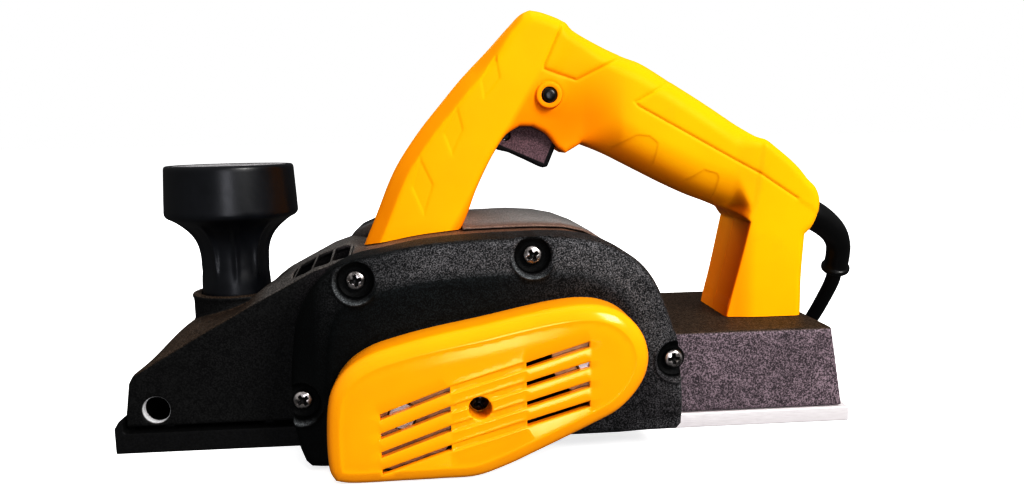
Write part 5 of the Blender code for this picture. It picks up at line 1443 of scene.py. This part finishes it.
kn = lathe_mesh(knob_prof, "Z", KNOB, 240, flute)
named(kn, "knob_shell", M["knob"], "knob", 42, ["depth_knob"])
cap = lathe_mesh([(0, 107.72), (4, 107.72), (9, 107.74), (14, 107.78), (19, 107.84), (21.6, 107.9), (22.4, 107.96), (22.9, 107.98), (23.2, 107.92),
                  (23.4, 107.75), (23.45, 107.4), (23.45, 106.95), (0, 106.95)], "Z", KNOB, 128)
named(cap, "knob_disc", M["disc"], "knob", 35, ["knob_cap"])

# ------------------------------------------------------------------ cast body
body = cad_copy("main_frame")
join(body, lathe_mesh([(14.42, 53.0), (17.5, 53.0), (18.05, 53.4), (18.05, 54.7), (17.7, 55.05), (14.42, 55.05)], "Z", KNOB, 96))
SLOPE = [(-92.8, 55.2), (-68.3, 68.0), (-53.0, 73.2), (-39.0, 76.3)]


def slope_z(x):
    return float(np.interp(x, [p[0] for p in SLOPE], [p[1] for p in SLOPE]))


# under the air inlets the wall is thin, over one common hollow
xs = [-80.0, -72.0, -68.3, -60.0, -53.0, -50.5]
cut(body, prism([(xs[0], 56.5)] + [(x, slope_z(x) - 2.0) for x in xs] + [(xs[-1], 58.0)], -37.5, -6.0))
cut(body, prism([(-76.2, -35.0), (-53.6, -35.0), (-55.6, -8.5), (-78.6, -8.5)], 52.0, 82.0, "Z"))
remesh(body, 0.62, 4, 0.5)


def crown(c):
    """The top of the nose swells between its side edges, highest ahead of the boss."""
    x, y, z = c[:, 0], c[:, 1], c[:, 2]
    top = np.interp(x, [-140.4, -138.6, -136.7, -107.6, -92.8, -68.3], [15.0, 27.2, 30.5, 47.3, 55.2, 68.0])
    near = 1 - smooth01(np.abs(z - top), 1.6, 4.4)
    along = smooth01(x, -138.5, -125.0) * (1 - smooth01(x, -122.0, -98.0))
    across = np.clip(1 - (np.abs(y) / 40.0) ** 2.4, 0, 1)
    r = np.hypot(x - KNOB[0], y)
    c[:, 2] = z + 5.6 * near * along * across * smooth01(r, 14.0, 17.4)
    # behind the boss the slope rises from a beaded side edge to a flat crown that holds the air inlets
    top = np.interp(x, [-107.6, -92.8, -68.3, -53.0, -39.0], [47.3, 55.2, 68.0, 73.2, 76.3])
    near = 1 - smooth01(np.abs(z - top), 2.6, 6.5)
    along = smooth01(x, -101.0, -88.0) * (1 - smooth01(x, -60.0, -51.2)) * smooth01(r, 18.4, 23.0)
    a = 42.0 - np.abs(y)
    c[:, 2] += near * along * (3.1 * smooth01(a, 2.2, 15.0) + 0.45 * np.exp(-((a - 1.0) / 0.8) ** 2))
    return c


move_verts(body, crown)
sm = body.modifiers.new("Smooth", "SMOOTH")
sm.factor = 0.5
sm.iterations = 2
apply_all(body)
dc = body.modifiers.new("Decimate", "DECIMATE")
dc.ratio = 0.42
apply_all(body)
# thin slanted ribs between the inlets
for k in range(4):
    xr = -75.9 + 7.25 * k
    slab = [(xr - 0.45, -36.2), (xr + 0.45, -36.2), (xr - 1.75, -7.2), (xr - 2.65, -7.2)]
    tops = [slope_z(x) + 3.1 * float(smooth01(np.array([42.0 + y]), 2.2, 15.0)[0]) * float(1 - smooth01(np.array([x]), -60.0, -51.2)[0]) - 0.25 for x, y in slab]
    bm = bmesh.new()
    lo = [bm.verts.new(Vector((x, y, 57.5)) * MM) for x, y in slab]
    hi = [bm.verts.new(Vector((x, y, t)) * MM) for (x, y), t in zip(slab, tops)]
    bm.faces.new(lo)
    bm.faces.new(hi)
    for i in range(4):
        j = (i + 1) % 4
        bm.faces.new((lo[i], lo[j], hi[j], hi[i]))
    bmesh.ops.triangulate(bm, faces=bm.faces[:])
    join(body, from_bmesh(bm, "rib"))
named(body, "cast_body", M["cast"], "body", 60, ["main_frame"])

# ------------------------------------------------------------------ rear sole and front shoe
rs = prism([(-20.5, 0), (-14.5, 6), (145, 6), (145, 0)], -42, 42)
bevel(rs, 0.55, 3, None, 30)
named(rs, "sole_rear", M["sole"], "body", 30, ["rear_sole"])
sh = cad_copy("front_shoe")
remesh(sh, 0.6, 3, 0.5)
dc = sh.modifiers.new("Decimate", "DECIMATE")
dc.ratio = 0.4
apply_all(sh)
named(sh, "shoe_front", M["shoe"], "shoe", 50, ["front_shoe"])

# ------------------------------------------------------------------ motor side
hs = cad_copy("motor_housing")
for y0, y1 in ((60.2, 61.6), (63.4, 64.8), (66.6, 68.0)):
    join(hs, lathe_mesh([(33.0, y0), (35.3, y0 + 0.25), (35.3, y1 - 0.25), (33.0, y1)], "Y", (30.0, 41.0), 128))
join(hs, prism([(-10.1, 80.6), (-10.1, 84.9), (-7.0, 85.1), (-7.0, 80.75)], -24.0, 24.0))
remesh(hs, 0.72, 4, 0.5)
HUMP = [(-64.0, 69.5), (-58.5, 76.5), (-50, 80.2), (-30, 83.0), (-6, 85.2), (10, 85.6), (22, 84.8), (31, 83.0), (39, 79.8), (50, 73.6), (58, 66.0), (63.5, 55.0)]


def settle(c):
    """The top rises from the deck line beside the handle foot and rolls over towards the motor side."""
    x, y, z = c[:, 0], c[:, 1], c[:, 2]
    base = np.interp(x, [p[0] for p in DECK], [p[1] for p in DECK]) + 0.5
    crest = np.interp(x, [p[0] for p in HUMP], [p[1] for p in HUMP])
    w = np.clip((z - base) / np.maximum(crest - base, 0.8), 0, 1)
    near = np.clip(crest - base - 1.0, 0, None) * (1 - smooth01(y, -25.0, 17.0)) * (y < 25)
    far = 0.0045 * np.clip(y - 14.0, 0, 46) ** 2
    wf = smooth01(z, crest - 13.0, crest - 1.0) * smooth01(x, -50.0, -14.0)
    c[:, 2] = z - w * near - wf * far
    return c


move_verts(hs, settle)
dc = hs.modifiers.new("Decimate", "DECIMATE")
dc.ratio = 0.42
apply_all(hs)
named(hs, "housing_shell", M["fairing"], "body", 60, ["motor_housing"])
ec = cad_copy("motor_end_cap")
remesh(ec, 0.45, 3, 0.5)
dc = ec.modifiers.new("Decimate", "DECIMATE")
dc.ratio = 0.45
apply_all(ec)
named(ec, "end_cap_shell", M["motor"], "body", 60, ["motor_end_cap"])
ch = cad_copy("chip_chute")
remesh(ch, 0.45, 4, 0.5)
dc = ch.modifiers.new("Decimate", "DECIMATE")
dc.ratio = 0.45
apply_all(ch)
named(ch, "chute_shell", M["motor"], "body", 60, ["chip_chute"])
for n in ("drum_plate_right",):
    pl = cad_copy(n)
    remesh(pl, 0.5, 3, 0.5)
    dc = pl.modifiers.new("Decimate", "DECIMATE")
    dc.ratio = 0.4
    apply_all(pl)
    named(pl, "bearing_plate_right", M["cast"], "body", 60, [n])

# ------------------------------------------------------------------ trigger and lock button
TRIG = [(4.9, 112.9), (5.3, 116.5), (7.2, 120.6), (10.5, 122.3), (27.5, 121.6), (29.8, 119.5), (30.2, 113.2),
        (26.6, 104.8), (24.6, 104.3), (18.0, 107.6), (11.0, 110.9), (6.5, 112.0)]
tr = prism(TRIG, -7.9, 7.9)
bevel(tr, 1.1, 3, lambda a, b: abs(abs(a.y) - 7.9) < 0.05 and abs(abs(b.y) - 7.9) < 0.05)
cut(tr, cyl("Y", (9.2, 118.0), -10, 10, 1.75, 32))
remesh(tr, 0.36, 2, 0.5)
dc = tr.modifiers.new("Decimate", "DECIMATE")
dc.ratio = 0.5
apply_all(tr)
named(tr, "trigger_key", M["trigger"], "trigger", 60, ["trigger"])
pin = lathe_mesh([(0, -8.4), (1.2, -8.4), (1.45, -8.15), (1.45, 8.15), (1.2, 8.4), (0, 8.4)], "Y", (9.2, 118.0), 32)
named(pin, "trigger_axle", M["pin"], "body", 35, ["trigger_pin"])
lb = lathe_mesh([(0, -21.62), (1.2, -21.6), (1.9, -21.48), (2.35, -21.25), (2.62, -20.9), (2.72, -20.4), (2.75, -15.6), (4.2, -15.6), (4.2, -14.3), (0, -14.3)],
                "Y", BUTTON, 64)
named(lb, "lock_key", M["button"], "lock_button", 35, ["lock_button"])

# ------------------------------------------------------------------ CAD pieces that stay
KEEP = {
    "steel": ["depth_stud", "motor_shaft", "knob_retainer", "motor_bearing_front", "motor_bearing_rear", "drum_bearing_left",
              "drum_bearing_right", "knob_spring", "cutter_drum", "blade_clamp_1", "blade_clamp_2"],
    "pulley": ["motor_pulley", "drum_pulley"],
    "edge": ["blade_1", "blade_2"],
    "cast": ["drum_plate_left"],
    "core": ["armature", "stator"],
    "copper": ["commutator"],
    "carbon": ["carbon_brush_1", "carbon_brush_2"],
    "beltrubber": ["drive_belt"],
    "plastic": ["switch_body", "cord_clamp", "motor_fan"],
    "brass": ["brush_holder_1", "brush_holder_2", "plug_pin_1", "plug_pin_2"],
}
for key, names in KEEP.items():
    for n in names:
        me = frame["nodes"][n].data
        me.materials.clear()
        me.materials.append(M[key])

# ------------------------------------------------------------------ floor and light
for n in ("Cube", "Light", "Camera"):
    if n in bpy.data.objects:
        bpy.data.objects.remove(bpy.data.objects[n], do_unlink=True)
bm = bmesh.new()
bmesh.ops.create_grid(bm, x_segments=8, y_segments=8, size=30.0)
me = bpy.data.meshes.new("floor")
bm.to_mesh(me)
bm.free()
floor = bpy.data.objects.new("floor", me)
scene.collection.objects.link(floor)
fl = Mat("pale_floor")
fl.set(color=fl.mix(fl.remap(fl.noise(3.0, 3.0), 0.3, 0.7, 0.0, 1.0), (0.80, 0.80, 0.81), (0.83, 0.83, 0.83)), rough=0.9, spec=0.1)
fl.b.inputs["Emission Color"].default_value = (1.0, 1.0, 1.0, 1.0)
fl.b.inputs["Emission Strength"].default_value = 0.68
fl.bump((fl.noise(400.0, 3.0), 0.05, 0.0001))
me.materials.append(fl.m)
floor.visible_diffuse = False
floor.visible_glossy = False

world = bpy.data.worlds.new("studio")
scene.world = world
world.use_nodes = True
wt = world.node_tree
bg = wt.nodes["Background"]
bg.inputs["Color"].default_value = (1.0, 1.0, 1.0, 1.0)
bg.inputs["Strength"].default_value = 0.42
seen = wt.nodes.new("ShaderNodeBackground")
seen.inputs["Color"].default_value = (1.0, 1.0, 1.0, 1.0)
seen.inputs["Strength"].default_value = 1.0
# brighter above and in front, dim behind and below
gen = wt.nodes.new("ShaderNodeTexCoord")
sep = wt.nodes.new("ShaderNodeSeparateXYZ")
wt.links.new(gen.outputs["Generated"], sep.inputs[0])
by_z = wt.nodes.new("ShaderNodeValToRGB")
while len(by_z.color_ramp.elements) < 4:
    by_z.color_ramp.elements.new(0.5)
for e, (at, v) in zip(by_z.color_ramp.elements, ((0.0, 0.17), (0.47, 0.21), (0.62, 0.42), (1.0, 0.85))):
    e.position = at
    e.color = (v, v, v, 1.0)
half = wt.nodes.new("ShaderNodeMapRange")
for k, v in zip(("From Min", "From Max", "To Min", "To Max"), (-1.0, 1.0, 0.0, 1.0)):
    half.inputs[k].default_value = v
wt.links.new(sep.outputs["Z"], half.inputs["Value"])
wt.links.new(half.outputs["Result"], by_z.inputs["Fac"])
by_y = wt.nodes.new("ShaderNodeMapRange")
for k, v in zip(("From Min", "From Max", "To Min", "To Max"), (-0.4, 0.7, 1.15, 0.35)):
    by_y.inputs[k].default_value = v
wt.links.new(sep.outputs["Y"], by_y.inputs["Value"])
both = wt.nodes.new("ShaderNodeMath")
both.operation = "MULTIPLY"
wt.links.new(by_z.outputs["Color"], both.inputs[0])
wt.links.new(by_y.outputs["Result"], both.inputs[1])
wt.links.new(both.outputs[0], bg.inputs["Strength"])
path = wt.nodes.new("ShaderNodeLightPath")
blend = wt.nodes.new("ShaderNodeMixShader")
wt.links.new(path.outputs["Is Camera Ray"], blend.inputs["Fac"])
wt.links.new(bg.outputs["Background"], blend.inputs[1])
wt.links.new(seen.outputs["Background"], blend.inputs[2])
wt.links.new(blend.outputs["Shader"], wt.nodes["World Output"].inputs["Surface"])


def area(name, loc, target, size, power, color=(1, 1, 1), size_y=None):
    la = bpy.data.lights.new(name, "AREA")
    la.shape = "RECTANGLE"
    la.size = size
    la.size_y = size_y or size
    la.energy = power
    la.color = color
    ob = bpy.data.objects.new(name, la)
    scene.collection.objects.link(ob)
    d = Vector(target) - Vector(loc)
    ob.rotation_euler = d.to_track_quat("-Z", "Y").to_euler()
    ob.location = loc
    return ob


area("key", (0.46, -0.66, 0.52), (0.04, -0.02, 0.08), 0.30, 9.0, (1.0, 0.985, 0.96))
area("window", (0.03, -0.95, 0.07), (0.0, 0.0, 0.07), 0.15, 3.4, (0.92, 0.93, 1.0), 0.44)
area("back", (-0.5, 0.9, 0.7), (0.0, 0.0, 0.06), 0.5, 9.0).visible_glossy = False
area("top", (0.05, 0.05, 1.1), (0.0, 0.0, 0.05), 0.6, 5.0).visible_glossy = False
view = scene.view_settings
view.view_transform = "Standard"
view.use_curve_mapping = True
tone = view.curve_mapping.curves[3]
for x, y in ((0.04, 0.018), (0.15, 0.095), (0.40, 0.36), (0.75, 0.78)):
    tone.points.new(x, y)
view.curve_mapping.update()
scene.camera = cam
